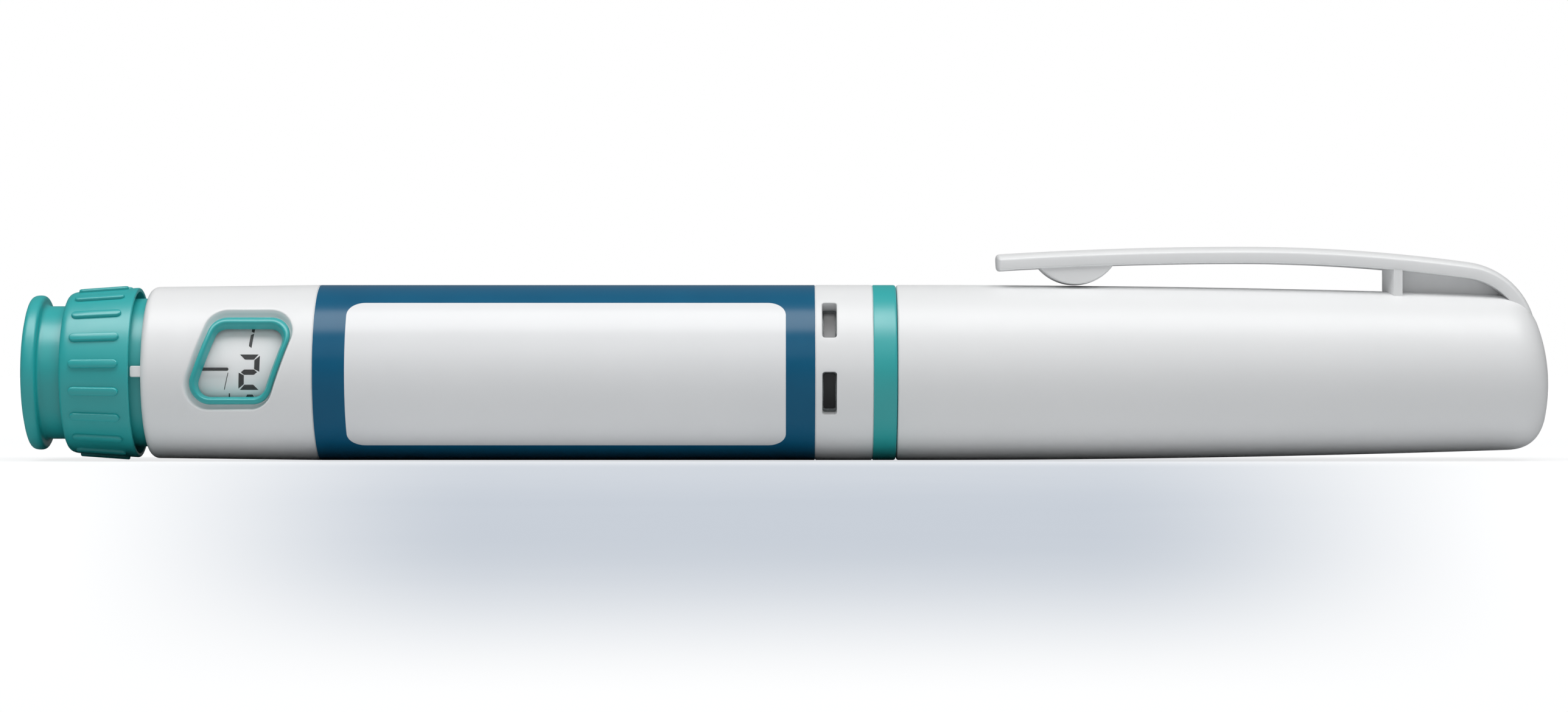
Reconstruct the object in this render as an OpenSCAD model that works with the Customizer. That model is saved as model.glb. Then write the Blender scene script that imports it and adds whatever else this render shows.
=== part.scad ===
// Prefilled injection pen, lying on its side, in millimetres.
// The axis of the pen runs along X, the button is at -X and the cap at +X.
// The window, the stop nib and the collar slots face -Y, and the clip is on top.
// The origin is under the middle of the pen, on the surface that it lies on.

/* [Pen] */
// Outer diameter of the glass cartridge that the pen is built round
glass_d = 11.6; // [11:0.1:12]
// Depth of the cartridge holder's tube below the surface of the pen's body
holder_depth = 2.1; // [2:0.05:2.6]
// Wall of the housing
housing_wall = 1.25; // [1.15:0.01:1.3]
// Travel of the number sleeve along the axis for each turn
dose_lead = 5.5; // [5:0.1:6]
// Units that one turn of the dial sets
units_per_turn = 10; // [10:1:14]
// Units that the dial shows as the pen lies here
shown_units = 2; // [0:1:2]

/* [Housing] */
// Length of the housing tube
housing_l = 74.07; // [72:0.01:80]
// Step by which the housing is slimmer at the dial end
housing_end_slim = 0.2; // [0:0.05:0.4]
// Rounding of the housing at the dial end
housing_end_round = 0.9; // [0.3:0.1:1]
// Length of the stop nib that points to the dial
nib_l = 1.03; // [0.6:0.01:1.1]
// Width of the stop nib round the housing
nib_w = 1.15; // [0.8:0.05:2]
// Thickness of the stop nib
nib_t = 0.35; // [0.2:0.05:0.4]

/* [Window] */
// Distance from the housing's dial end to the middle of the window
window_x = 10.15; // [9:0.05:12]
// Angle of the middle of the window above the side that faces -Y
window_angle = 8.3; // [0:0.1:20]
// Width of the window frame along the pen
frame_w = 8.45; // [7:0.05:9]
// Height of the window frame across the pen
frame_h = 8.8; // [7:0.1:9.5]
// Corner radius of the window frame
frame_corner = 2; // [1.4:0.1:2.5]
// Width of the window's opening along the pen
opening_w = 6.5; // [5:0.1:6.8]
// Height of the window's opening across the pen
opening_h = 6.7; // [5:0.1:7]
// Corner radius of the window's opening
opening_corner = 1.4; // [0.8:0.1:2]
// Lean of the window's sides towards the cap, as rise over run
window_lean = 0.35; // [0:0.05:0.4]
// Width that the moulded recess adds to the frame
recess_more_w = 0.95; // [0.5:0.05:1.5]
// Height that the moulded recess adds to the frame
recess_more_h = 1.4; // [0.5:0.1:1.6]
// Depth of the moulded recess
recess_depth = 0.5; // [0.2:0.05:0.7]
// Thickness of the clear lens
lens_t = 0.6; // [0.4:0.05:0.8]

/* [Label] */
// Distance from the housing's dial end to the label
label_x = 17.45; // [17:0.05:20]
// Distance from the label to the housing's cap end
label_end_gap = 5.93; // [5.4:0.01:12]
// Thickness of the label film
label_t = 0.07; // [0.05:0.01:0.1]

/* [Collar] */
// Length of the collar ring
collar_l = 2.38; // [1.5:0.01:4]
// Rounding of the collar ring's edges
collar_round = 0.25; // [0.1:0.05:0.5]
// Distance from the collar slots' middle to the housing's cap end
slot_from_end = 4.47; // [4:0.01:5]
// Width of a collar slot along the pen
slot_w = 1.5; // [1:0.1:2]
// Angle that a collar slot spans round the pen
slot_span = 28.7; // [15:0.1:35]
// Corner radius of a collar slot
slot_corner = 0.3; // [0.1:0.05:0.5]

/* [Dial] */
// Length of the dose selector, without its skirt
selector_l = 7.15; // [6.5:0.05:9]
// Step from the body's surface in to the dose selector
selector_slim = 0.27; // [0.05:0.01:0.4]
// Step by which the dose selector is slimmer at the button end
selector_taper = 0.5; // [0.3:0.05:0.6]
// Rounding of the dose selector at the button end
selector_round = 1.1; // [0.3:0.1:1.2]
// Number of grip ribs round the dose selector
rib_count = 19; // [12:1:24]
// Length of a grip rib
rib_l = 4.9; // [3:0.1:5.2]
// Width of a grip rib
rib_w = 0.85; // [0.5:0.05:1.2]
// Height of a grip rib
rib_h = 0.28; // [0.1:0.02:0.3]
// Angle of the first grip rib above the side that faces -Y
rib_angle = 6.3; // [0:0.1:18]
// Gap between the dose selector and the housing at zero units
zero_gap = 0.05; // [0.05:0.05:0.3]
// Gap between the dose selector's skirt and the housing's bore
skirt_gap = 0.15; // [0.15:0.01:0.25]
// Length that the skirt reaches past the dose selector
skirt_l = 2.2; // [2:0.1:3]
// Gap between the number sleeve and the housing's bore
number_sleeve_gap = 0.55; // [0.5:0.01:0.65]
// Wall of the number sleeve
number_sleeve_wall = 1.1; // [1:0.05:1.15]
// Distance from the number sleeve's end back from the drive sleeve's end
number_sleeve_short = 1.34; // [0.5:0.01:4]

/* [Button] */
// Step from the dose selector's button end in to the rim of the button
button_slim = 0.3; // [0:0.05:0.6]
// Thickness of the button's flange at its rim
button_rim_l = 1.5; // [1.2:0.05:2]
// Height of the button's slight dome
button_dome = 0.4; // [0.2:0.05:0.6]
// Rounding of the button's rim
button_round = 0.7; // [0.3:0.05:0.7]
// Fillet between the button's flange and its neck
button_fillet = 0.6; // [0.2:0.05:0.8]
// Overhang of the button's rim past its neck
button_rim_step = 1.11; // [0.9:0.01:1.2]
// Length of the button's neck that shows
neck_l = 2.4; // [2:0.05:4]
// Travel of the button when it is pressed
button_travel = 1.5; // [0.5:0.1:1.6]
// Diameter of the wire of the button spring
spring_wire = 0.5; // [0.4:0.05:0.6]
// Turns of the button spring
spring_turns = 3.5; // [2:0.5:3.5]

/* [Drive] */
// Gap between the drive sleeve and the button's stem
drive_gap = 0.5; // [0.3:0.05:0.6]
// Wall of the drive sleeve
drive_wall = 1.2; // [0.8:0.05:1.3]
// Gap between the ratchet ring and the rod nut
ratchet_gap = 3.19; // [0.5:0.01:6]
// Gap between the piston rod and the closed end of the drive sleeve
rod_gap = 6.69; // [2:0.01:8]
// Length of the threaded rod nut
rod_nut_l = 7; // [5:0.5:7.5]
// Length of the ratchet ring
ratchet_l = 3.5; // [2:0.5:4]
// Length of the clutch ring
clutch_l = 3; // [2:0.5:4]
// Teeth round the clutch ring
clutch_teeth = 20; // [12:1:24]
// Length of the last-dose nut
stop_nut_l = 4; // [3:0.5:6]
// Length of the thread insert in the housing
insert_l = 8; // [6:0.5:10]
// Distance from the housing's dial end to the thread insert
insert_x = 19.3; // [18:0.1:19.5]

/* [Cartridge] */
// Wall of the glass cartridge
glass_wall = 0.97; // [0.8:0.01:1.1]
// Length of the glass cartridge, without its crimp cap
glass_l = 63; // [62:0.1:64]
// Length of the cartridge's neck and shoulder
glass_neck_l = 9; // [8:0.1:9]
// Step from the glass in to the aluminium crimp cap
crimp_step = 2; // [1.9:0.05:2.2]
// Length of the aluminium crimp cap
crimp_l = 5.6; // [5:0.1:7]
// Length of the rubber plunger
plunger_l = 9; // [6:0.5:10]
// Wall of the cartridge holder's tube
holder_wall = 1; // [0.8:0.05:1.2]
// Wall of the needle seat at the holder's tip
needle_seat_wall = 0.75; // [0.6:0.05:0.9]
// Length of the needle seat
needle_seat_l = 7.5; // [6:0.1:8]

/* [Cap] */
// Room for a fitted needle, between the needle seat and the cap's closed end
needle_room = 8.03; // [7:0.01:14]
// Wall of the cap
cap_wall = 1.1; // [0.8:0.05:1.3]
// Radius of the long curve that narrows the cap
cap_barrel_radius = 1800; // [1700:50:2500]
// Straight length at the cap's mouth
cap_straight_l = 1.5; // [0.5:0.1:4]
// Radius of the cap's domed end
cap_dome_radius = 17.7; // [15:0.1:22]
// Drop of the dome's middle below the axis
cap_dome_drop = 1.2; // [0:0.1:2]
// Rounding of the cap's edge under the dome
cap_edge_round = 2; // [1:0.1:2.5]
// Thickness of the cap's closed end
cap_end_t = 2; // [1.5:0.1:4]

/* [Clip] */
// Width of the clip
clip_w = 5.7; // [4:0.1:7]
// Thickness of the clip at its middle line
clip_t = 1.72; // [1.4:0.02:2]
// Crown of the clip's top
clip_crown = 0.5; // [0.2:0.05:0.6]
// Height of the clip's crest above the body's surface
clip_crest_h = 3.93; // [3.5:0.01:5]
// Distance from the clip's crest to the cap's end
clip_crest_x = 31.25; // [30.5:0.05:33]
// Distance from the cap's mouth to the clip's tip
clip_tip_x = 10.25; // [6:0.05:14]
// Radius of the arm's curve between its crest and its tip
clip_tip_radius = 400; // [300:10:600]
// Radius of the clip's curve between its crest and its nose
clip_root_radius = 172; // [170:2:220]
// Distance from the clip's crest to the split where it flexes
flex_x = 14.3; // [12:0.1:15]
// Distance from the clip's crest to the start of its nose
nose_x = 23.3; // [23:0.1:24]
// Radius of the clip's nose
nose_radius = 8; // [7:0.1:8.5]
// Distance from the clip's tip to the middle of its foot
foot_x = 8.1; // [6:0.1:12]
// Radius of the clip's round foot
foot_radius = 4.8; // [4:0.1:5.5]
// Thickness of the wall under the clip
clip_wall_t = 0.9; // [0.6:0.1:1.5]
// Thickness of the web between the clip's two side pockets
clip_web_t = 1.8; // [1:0.1:3]

/* [Hidden] */
$fn = 96;
fine_fn = 1440;
overrun = 1;
running_gap = 0.1;
press_gap = 0.02;
face_gap = 0.05;
loose_gap = 0.3;
arc_steps = 8;

glass_r = glass_d / 2;
holder_bore_r = glass_r + running_gap;
holder_r = holder_bore_r + holder_wall;
body_r = holder_r + holder_depth;
axis_h = body_r;
bore_r = body_r - housing_wall;

// Places along X, from the button to the end of the cap
step_l = dose_lead / units_per_turn;
dial_gap = zero_gap + shown_units * step_l;
glass_set_in = 2;
septum_l = 1.2;
holder_set_in = 2 * slot_from_end - slot_w;
crimp_reach = glass_l + septum_l + 2 * press_gap;
seat_reach = glass_set_in + crimp_reach + loose_gap + running_gap;
cap_l = seat_reach - holder_set_in - collar_l - face_gap + needle_room + cap_end_t;
label_l = housing_l - label_x - label_end_gap;
pen_l = button_dome + button_rim_l + neck_l + selector_l + dial_gap + housing_l + collar_l + face_gap + cap_l;
button_x = -pen_l / 2;
rim_x = button_x + button_dome;
selector_x = rim_x + button_rim_l + neck_l;
selector_end_x = selector_x + selector_l;
housing_x = selector_end_x + dial_gap;
housing_end_x = housing_x + housing_l;
collar_end_x = housing_end_x + collar_l;
cap_x = collar_end_x + face_gap;
cap_end_x = cap_x + cap_l;

zero_travel = shown_units * step_l;

// Dial and button
selector_front_r = body_r - selector_slim;
selector_rear_r = selector_front_r - selector_taper;
skirt_r = bore_r - skirt_gap;
number_sleeve_r = bore_r - number_sleeve_gap;
number_bore_r = number_sleeve_r - number_sleeve_wall;
button_r = selector_rear_r - button_slim;
neck_r = button_r - button_rim_step;
neck_fit = 0.13;
neck_in_l = 1;
neck_end_x = selector_x + neck_in_l;
sleeve_x = neck_end_x + button_travel + loose_gap;
stem_r = number_bore_r - 2 * running_gap;
stem_wall = 1.1;
stem_bore_r = stem_r - stem_wall;
nib_in_r = bore_r + running_gap;
nib_out_r = nib_in_r + nib_t;
groove_r = nib_out_r + running_gap;
groove_depth = nib_l + running_gap;

// Drive, in the order in which it stands along the pen
drive_r = stem_bore_r - drive_gap;
drive_bore_r = drive_r - drive_wall;
rod_r = drive_bore_r - 2 * running_gap;
spring_l = 4.5;
spring_set_in = 0.66;
spring_seat_x = sleeve_x - spring_set_in;
drive_x = spring_seat_x + spring_l;
drive_plug_l = 2;
stop_nut_set_in = 9.4;
spring_r = (drive_r + drive_bore_r) / 2;
clutch_x = drive_x + loose_gap;
stem_end_x = clutch_x - button_travel - loose_gap;
stop_nut_x = clutch_x + clutch_l + stop_nut_set_in;
insert_start_x = housing_x + insert_x;
insert_bore_r = number_sleeve_r + running_gap;

// Cartridge and what drives its plunger
cap_seat_l = 4.5;
foot_l = 2;
rod_set_in = 0.9;
glass_bore_r = glass_r - glass_wall;
crimp_r = glass_r - crimp_step;
collar_r = bore_r - press_gap;
holder_start_x = housing_end_x - holder_set_in;
holder_collar_l = collar_end_x - holder_start_x + cap_seat_l;
glass_x = holder_start_x + glass_set_in;
glass_end_x = glass_x + glass_l;
crimp_end_x = glass_x + crimp_reach;
seat_end_x = holder_start_x + seat_reach;
seat_x = seat_end_x - needle_seat_l;
rod_end_x = glass_x + rod_set_in;
rod_x = drive_x + drive_plug_l + rod_gap;
rod_l = rod_end_x - rod_x;
plunger_x = rod_end_x + face_gap + foot_l;
rod_nut_x = holder_start_x - loose_gap - rod_nut_l;
ratchet_x = rod_nut_x - ratchet_gap - ratchet_l;
drive_sleeve_l = ratchet_x - loose_gap - zero_travel - drive_x;
sleeve_end_x = drive_x + drive_sleeve_l - number_sleeve_short;

// Cap and clip
cap_round_at = 2.7;
cap_bore_r = collar_r + running_gap;
crest_x = cap_end_x - clip_crest_x;
clip_reach = crest_x - cap_x - clip_tip_x;
crest_z = axis_h + body_r + clip_crest_h;
flex_at = crest_x + flex_x;
tip_x = cap_x + clip_tip_x;
clip_foot_x = tip_x + foot_x;
wall_x = flex_at + clip_wall_t;
nose_start_x = crest_x + nose_x;
nose_turn = asin(nose_x / clip_root_radius);
nose_end_turn = 68;
nose_drop = clip_root_radius * (1 - cos(nose_turn));
nose_mid_x = nose_start_x - nose_radius * sin(nose_turn);
nose_mid_z = crest_z - nose_drop - nose_radius * cos(nose_turn);

// Radius of the cap's outside at a distance from its mouth
function cap_radius(s) = body_r - pow(max(0, s - cap_straight_l), 2) / (2 * cap_barrel_radius);

// Radius of the cap's inside at a distance from its mouth
function cap_inside(s) = min(cap_bore_r, cap_radius(s) - cap_wall);

// Points of an arc about a centre, from one angle to another
function arc(centre, radius, from, to, steps = arc_steps) = [
    for (i = [0:steps])
        let (a = from + (to - from) * i / steps)
        [centre[0] + radius * cos(a), centre[1] + radius * sin(a)]
];

// Outline of a rectangle that leans to one side and has round corners
function leaning_outline(w, h, corner, lean) =
    let (
        tilt = atan(lean),
        half_w = w / 2 - corner * sqrt(1 + lean * lean),
        half_h = h / 2 - corner
    )
    [
        for (c = [
            [1, -1, -90, -tilt],
            [1, 1, -tilt, 90],
            [-1, 1, 90, 180 - tilt],
            [-1, -1, 180 - tilt, 270]
        ])
            each arc([c[0] * half_w + lean * c[1] * half_h, c[1] * half_h], corner, c[2], c[3])
    ];

// Lays a shape made along Z onto the pen's axis, with its foot at x
module on_axis(x) {
    translate([x, 0, axis_h])
        rotate([0, 90, 0])
            children();
}

// Turn about the axis that brings a shape from its own +X to an angle above -Y
function facing(a) = 270 - a;

// Sets a shape made along Z so that it points out of the pen at an angle above -Y
module outwards(x, a) {
    translate([x, 0, axis_h])
        rotate([90 - a, 0, 0])
            children();
}

// Plain tube on the axis
module tube(x0, x1, outer, inner) {
    on_axis(x0)
        difference() {
            cylinder(r = outer, h = x1 - x0);
            translate([0, 0, -overrun])
                cylinder(r = inner, h = x1 - x0 + 2 * overrun);
        }
}

// Window

frame_outline = leaning_outline(frame_w, frame_h, frame_corner, window_lean);
opening_outline = leaning_outline(opening_w, opening_h, opening_corner, window_lean);
recess_outline = leaning_outline(
    frame_w + recess_more_w, frame_h + recess_more_h, frame_corner + recess_more_w / 2, window_lean
);
frame_in_r = number_sleeve_r + loose_gap;
frame_top_r = body_r - recess_depth / 2;
lens_top_r = frame_in_r + lens_t;

// Prism through the wall of the housing, over the window
module window_prism(outline, grow = 0) {
    outwards(housing_x + window_x, window_angle)
        linear_extrude(body_r + overrun)
            polygon([for (p = outline) p * (1 + grow / norm(p))]);
}

// Point of an outline, laid on a cylinder of the radius given
function on_drum(p, radius) = [p[0], p[1] / body_r * radius, radius * cos(asin(p[1] / body_r))];

// Tapered plug that cuts the recess: wide at the housing's surface, narrow at its floor
module recess_plug() {
    count = len(recess_outline);
    top_r = body_r + running_gap;
    floor_r = body_r - recess_depth;
    points = concat(
        [for (p = recess_outline) on_drum(p, top_r)],
        [for (p = frame_outline) on_drum(p, floor_r)],
        [[0, 0, body_r + overrun], [0, 0, 0]]
    );
    faces = [
        for (i = [0:count - 1])
            let (j = (i + 1) % count)
            each [
                [2 * count, j, i],
                [i, j, count + j],
                [i, count + j, count + i],
                [count + i, count + j, 2 * count + 1]
            ]
    ];
    outwards(housing_x + window_x, window_angle)
        polyhedron(points = points, faces = faces);
}

module window_frame() {
    color("#34a8a8")
        difference() {
            intersection() {
                tube(housing_x, housing_x + 2 * window_x, frame_top_r, frame_in_r);
                window_prism(frame_outline, -press_gap);
            }
            window_prism(opening_outline);
        }
}

module window_lens() {
    color("#e8f2f4", 0.5)
        intersection() {
            tube(housing_x, housing_x + 2 * window_x, lens_top_r, frame_in_r);
            window_prism(opening_outline, -press_gap);
        }
}

// Housing, label and collar

// Angles of the collar slots: the two that show and the two on the far side
slot_angles = [37.9, -13.8, 217.9, 166.2];

// Block that fills one collar slot, or stands in it
module slot_block(span, w, corner, inner, outer) {
    half = sin(span / 2) * body_r;
    outline = leaning_outline(w, 2 * half, corner, 0);
    translate([0, 0, inner])
        linear_extrude(outer - inner)
            polygon(outline);
}

module housing() {
    recess_r = body_r - label_t;
    nib_half = asin(nib_w / 2 / nib_out_r);
    color("#f1f2f2") {
        difference() {
            on_axis(housing_x)
                rotate_extrude()
                    polygon(concat(
                        [[bore_r, 0]],
                        arc(
                            [body_r - housing_end_slim - housing_end_round, housing_end_round],
                            housing_end_round, -90, 0
                        ),
                        [
                            [body_r, label_x - running_gap],
                            [recess_r, label_x - running_gap],
                            [recess_r, label_x + label_l + running_gap],
                            [body_r, label_x + label_l + running_gap],
                            [body_r, housing_l - running_gap],
                            [body_r - running_gap, housing_l],
                            [bore_r, housing_l]
                        ]
                    ));
            window_prism(frame_outline);
            difference() {
                recess_plug();
                on_axis(housing_x)
                    cylinder(r = body_r - recess_depth, h = 2 * window_x);
            }
            for (a = slot_angles)
                outwards(housing_end_x - slot_from_end, a)
                    slot_block(slot_span, slot_w, slot_corner, number_bore_r, body_r + overrun);
        }
        on_axis(housing_x - nib_l)
            rotate([0, 0, facing(nib_half)])
                rotate_extrude(angle = 2 * nib_half)
                    translate([nib_in_r, 0])
                        square([nib_t, nib_l + housing_end_round]);
    }
}

module dose_label() {
    color("#12628a")
        tube(housing_x + label_x, housing_x + label_x + label_l, body_r, body_r - label_t);
}

module collar_ring() {
    color("#34a8a8")
        on_axis(housing_end_x)
            rotate_extrude()
                polygon(concat(
                    [[collar_r + press_gap, 0], [body_r - running_gap, 0], [body_r, running_gap]],
                    arc([body_r - collar_round, collar_l - collar_round], collar_round, 0, 90),
                    [[collar_r + press_gap, collar_l]]
                ));
}

// Dial

// One grip rib: a slab with round ends, set on the selector's slope
module grip_rib() {
    foot_r = selector_rear_r - 2 * running_gap;
    slope = atan(selector_taper / selector_l);
    crest = selector_rear_r + selector_taper / 2 + rib_h;
    rotate([0, -slope, 0])
        translate([0, 0, foot_r]) {
            for (side = [-1, 1])
                translate([side * (rib_l - rib_w) / 2, 0, 0])
                    cylinder(d = rib_w, h = crest - foot_r, $fn = 32);
            translate([-(rib_l - rib_w) / 2, -rib_w / 2, 0])
                cube([rib_l - rib_w, rib_w, crest - foot_r]);
        }
}

module dose_selector() {
    seat = sleeve_x - selector_x;
    sleeve_seat_r = number_sleeve_r + press_gap;
    edge = 2 * running_gap;
    color("#34a8a8") {
        on_axis(selector_x)
            rotate_extrude()
                polygon(concat(
                    [[neck_r + neck_fit, 0]],
                    arc([selector_rear_r - selector_round, selector_round], selector_round, -90, 0),
                    [
                        [selector_front_r, selector_l - edge],
                        [selector_front_r - edge, selector_l],
                        [groove_r, selector_l],
                        [groove_r, selector_l - groove_depth],
                        [skirt_r, selector_l - groove_depth],
                        [skirt_r, selector_l + skirt_l],
                        [sleeve_seat_r, selector_l + skirt_l],
                        [sleeve_seat_r, seat],
                        [neck_r + neck_fit, seat]
                    ]
                ));
        for (i = [0:rib_count - 1])
            outwards(selector_x + selector_l / 2, rib_angle + i * 360 / rib_count)
                grip_rib();
    }
}

module number_sleeve() {
    color("#f4f4f2")
        tube(sleeve_x, sleeve_end_x, number_sleeve_r, number_bore_r);
}

module thread_insert() {
    color("#c9ced2")
        tube(insert_start_x, insert_start_x + insert_l, bore_r - press_gap, insert_bore_r);
}

// Button

module injection_button() {
    seat = spring_seat_x - button_x;
    color("#34a8a8")
        on_axis(button_x)
            rotate_extrude()
                polygon(concat(
                    [[0, 0], [button_r / 2, button_dome / 4]],
                    arc([button_r - button_round, button_dome + button_round], button_round, -70, 0),
                    arc(
                        [button_r - button_round, button_dome + button_rim_l - button_round],
                        button_round, 0, 70
                    ),
                    arc(
                        [neck_r + button_fillet, button_dome + button_rim_l + button_fillet],
                        button_fillet, -90, -180
                    ),
                    [
                        [neck_r, neck_end_x - button_x],
                        [stem_r, neck_end_x - button_x],
                        [stem_r, stem_end_x - button_x],
                        [stem_bore_r, stem_end_x - button_x],
                        [stem_bore_r, seat],
                        [0, seat]
                    ]
                ));
}

// Compression spring: one round wire wound along a helix, with its ends flat
module button_spring() {
    sides = 6;
    rings = ceil(spring_turns * 16);
    wire_r = spring_wire / 2;
    rise = spring_l - 2 * wire_r - 2 * face_gap;
    pitch = rise / spring_turns;
    points = [
        for (i = [0:rings])
            let (a = 360 * spring_turns * i / rings)
            for (k = [0:sides - 1])
                let (b = 360 * k / sides, r = spring_r + wire_r * cos(b))
                [r * cos(a), r * sin(a), rise * i / rings + wire_r * sin(b)]
    ];
    walls = [
        for (i = [0:rings - 1])
            for (k = [0:sides - 1])
                let (p = sides * i + k, q = sides * i + (k + 1) % sides)
                each [[p, q + sides, q], [p, p + sides, q + sides]]
    ];
    ends = concat(
        [for (k = [1:sides - 2]) [0, k, k + 1]],
        [for (k = [1:sides - 2]) [sides * rings, sides * rings + k + 1, sides * rings + k]]
    );
    echo(spring_gap = pitch - spring_wire);
    color("#b9bcc0")
        on_axis(spring_seat_x + wire_r + face_gap)
            polyhedron(points = points, faces = concat(walls, ends));
}

// Drive

module drive_sleeve() {
    color("#dfe2e4")
        on_axis(drive_x)
            difference() {
                cylinder(r = drive_r, h = drive_sleeve_l);
                translate([0, 0, drive_plug_l])
                    cylinder(r = drive_bore_r, h = drive_sleeve_l);
            }
}

module clutch_ring() {
    tooth_w = PI * number_bore_r / clutch_teeth / 2;
    tooth_r = (drive_r + number_bore_r) / 2;
    color("#e9a93c") {
        tube(clutch_x, clutch_x + clutch_l, tooth_r, drive_r + press_gap);
        for (i = [0:clutch_teeth - 1])
            on_axis(clutch_x)
                rotate([0, 0, i * 360 / clutch_teeth])
                    translate([tooth_r - running_gap, -tooth_w / 2, 0])
                        cube([number_bore_r - 2 * running_gap - tooth_r, tooth_w, clutch_l]);
    }
}

module last_dose_nut() {
    color("#8fb7c4")
        tube(stop_nut_x, stop_nut_x + stop_nut_l, number_bore_r - running_gap, drive_r + running_gap);
}

module ratchet_ring() {
    color("#d8d2c4")
        tube(ratchet_x, ratchet_x + ratchet_l, bore_r - press_gap, rod_r + running_gap);
}

module rod_nut() {
    color("#d0d4d8")
        tube(rod_nut_x, rod_nut_x + rod_nut_l, bore_r - press_gap, rod_r + running_gap);
}

module piston_rod() {
    color("#f0f0ee")
        on_axis(rod_x)
            cylinder(r = rod_r, h = rod_l);
}

module rod_foot() {
    color("#d9dde0")
        on_axis(plunger_x - foot_l)
            cylinder(r = glass_bore_r - 2 * loose_gap, h = foot_l - press_gap);
}

// Cartridge

module plunger() {
    plunger_r = glass_bore_r - press_gap;
    waist_r = plunger_r - 2 * running_gap;
    bands = 3;
    band = plunger_l / (2 * bands - 1);
    color("#4a4d52")
        on_axis(plunger_x) {
            cylinder(r = waist_r, h = plunger_l);
            for (i = [0:bands - 1])
                translate([0, 0, 2 * i * band])
                    cylinder(r = plunger_r, h = band);
        }
}

module cartridge_glass() {
    neck_x = glass_l - glass_neck_l;
    bead_l = 2 * septum_l;
    color("#dcebf0", 0.5)
        on_axis(glass_x)
            rotate_extrude()
                polygon([
                    [glass_bore_r, 0],
                    [glass_r, 0],
                    [glass_r, neck_x],
                    [crimp_r - glass_wall, neck_x + glass_neck_l / 3],
                    [crimp_r - glass_wall, glass_l - bead_l],
                    [crimp_r - glass_wall / 2, glass_l - bead_l],
                    [crimp_r - glass_wall / 2, glass_l],
                    [crimp_r - 2 * glass_wall, glass_l],
                    [crimp_r - 2 * glass_wall, neck_x + glass_neck_l / 3],
                    [glass_bore_r, neck_x]
                ]);
}

module septum() {
    color("#8e9296")
        on_axis(glass_end_x + press_gap)
            cylinder(r = crimp_r - glass_wall / 2, h = septum_l);
}

module crimp_cap() {
    inner_r = crimp_r - glass_wall / 2 + press_gap;
    hole_r = crimp_r / 2;
    lip = face_gap;
    color("#c9ccd0")
        on_axis(crimp_end_x - crimp_l)
            rotate_extrude()
                polygon([
                    [inner_r, 0],
                    [crimp_r, 0],
                    [crimp_r, crimp_l + lip],
                    [hole_r, crimp_l + lip],
                    [hole_r, crimp_l],
                    [inner_r, crimp_l]
                ]);
}

module cartridge_holder() {
    neck_bore_r = crimp_r + running_gap;
    seat_r = neck_bore_r + needle_seat_wall;
    collar_end = holder_collar_l;
    shoulder = glass_x + glass_l - glass_neck_l - holder_start_x + running_gap;
    seat_start = seat_x - holder_start_x;
    tip = seat_end_x - holder_start_x;
    tab_top = body_r - 2 * recess_depth;
    tab_share = 0.8;
    color("#e3edf0", 0.6) {
        on_axis(holder_start_x)
            rotate_extrude()
                polygon([
                    [holder_bore_r, 0],
                    [collar_r, 0],
                    [collar_r, collar_end],
                    [holder_r, collar_end + collar_round],
                    [holder_r, shoulder],
                    [seat_r, seat_start],
                    [seat_r, tip - running_gap],
                    [seat_r - running_gap, tip],
                    [neck_bore_r / 2, tip],
                    [neck_bore_r / 2, tip - loose_gap],
                    [neck_bore_r, tip - loose_gap],
                    [neck_bore_r, seat_start],
                    [holder_bore_r, shoulder]
                ]);
        for (a = slot_angles)
            outwards(housing_end_x - slot_from_end, a)
                slot_block(
                    tab_share * slot_span, slot_w - 2 * running_gap, slot_corner,
                    (holder_bore_r + collar_r) / 2, tab_top
                );
    }
}

// Cap and clip

// Cross-section of the clip, with its crown at the radius given, less an inset all round
module clip_section(radius, inset) {
    half = clip_w / 2 - inset;
    crown_radius = (half * half + clip_crown * clip_crown) / (2 * clip_crown);
    crown_turn = asin(half / crown_radius);
    under = radius - clip_t + inset;
    polygon(concat(
        [[under, half], [under, -half]],
        arc([radius - inset - crown_radius, 0], crown_radius, -crown_turn, crown_turn)
    ));
}

// Length of clip along a curve about Y, from one turn to another past its top
module clip_run(mid_x, mid_z, radius, from, to, inset = 0) {
    translate([mid_x, 0, mid_z])
        rotate([90, 0, 0])
            rotate([0, 0, 90 - to])
                rotate_extrude(angle = to - from, $fn = fine_fn)
                    clip_section(radius, inset);
}

module cap_clip() {
    tip_turn = asin(clip_reach / clip_tip_radius);
    flex_turn = asin((flex_x - face_gap) / clip_root_radius);
    lap_turn = asin(loose_gap / clip_root_radius);
    foot_w = clip_w - 4 * running_gap;
    foot_z = axis_h + cap_radius(clip_foot_x - cap_x) + face_gap + foot_radius;
    under_z = crest_z - pow(clip_reach - foot_x, 2) / (2 * clip_tip_radius) - clip_t;
    color("#eceded") {
        clip_run(crest_x, crest_z - clip_tip_radius, clip_tip_radius, -tip_turn, 0);
        clip_run(
            crest_x, crest_z - clip_root_radius, clip_root_radius, -lap_turn, flex_turn, press_gap
        );
        intersection() {
            translate([clip_foot_x, 0, foot_z])
                sphere(r = foot_radius);
            translate([clip_foot_x - foot_radius, -foot_w / 2, foot_z - foot_radius])
                cube([2 * foot_radius, foot_w, under_z + clip_crown - foot_z + foot_radius]);
        }
    }
}

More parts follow.
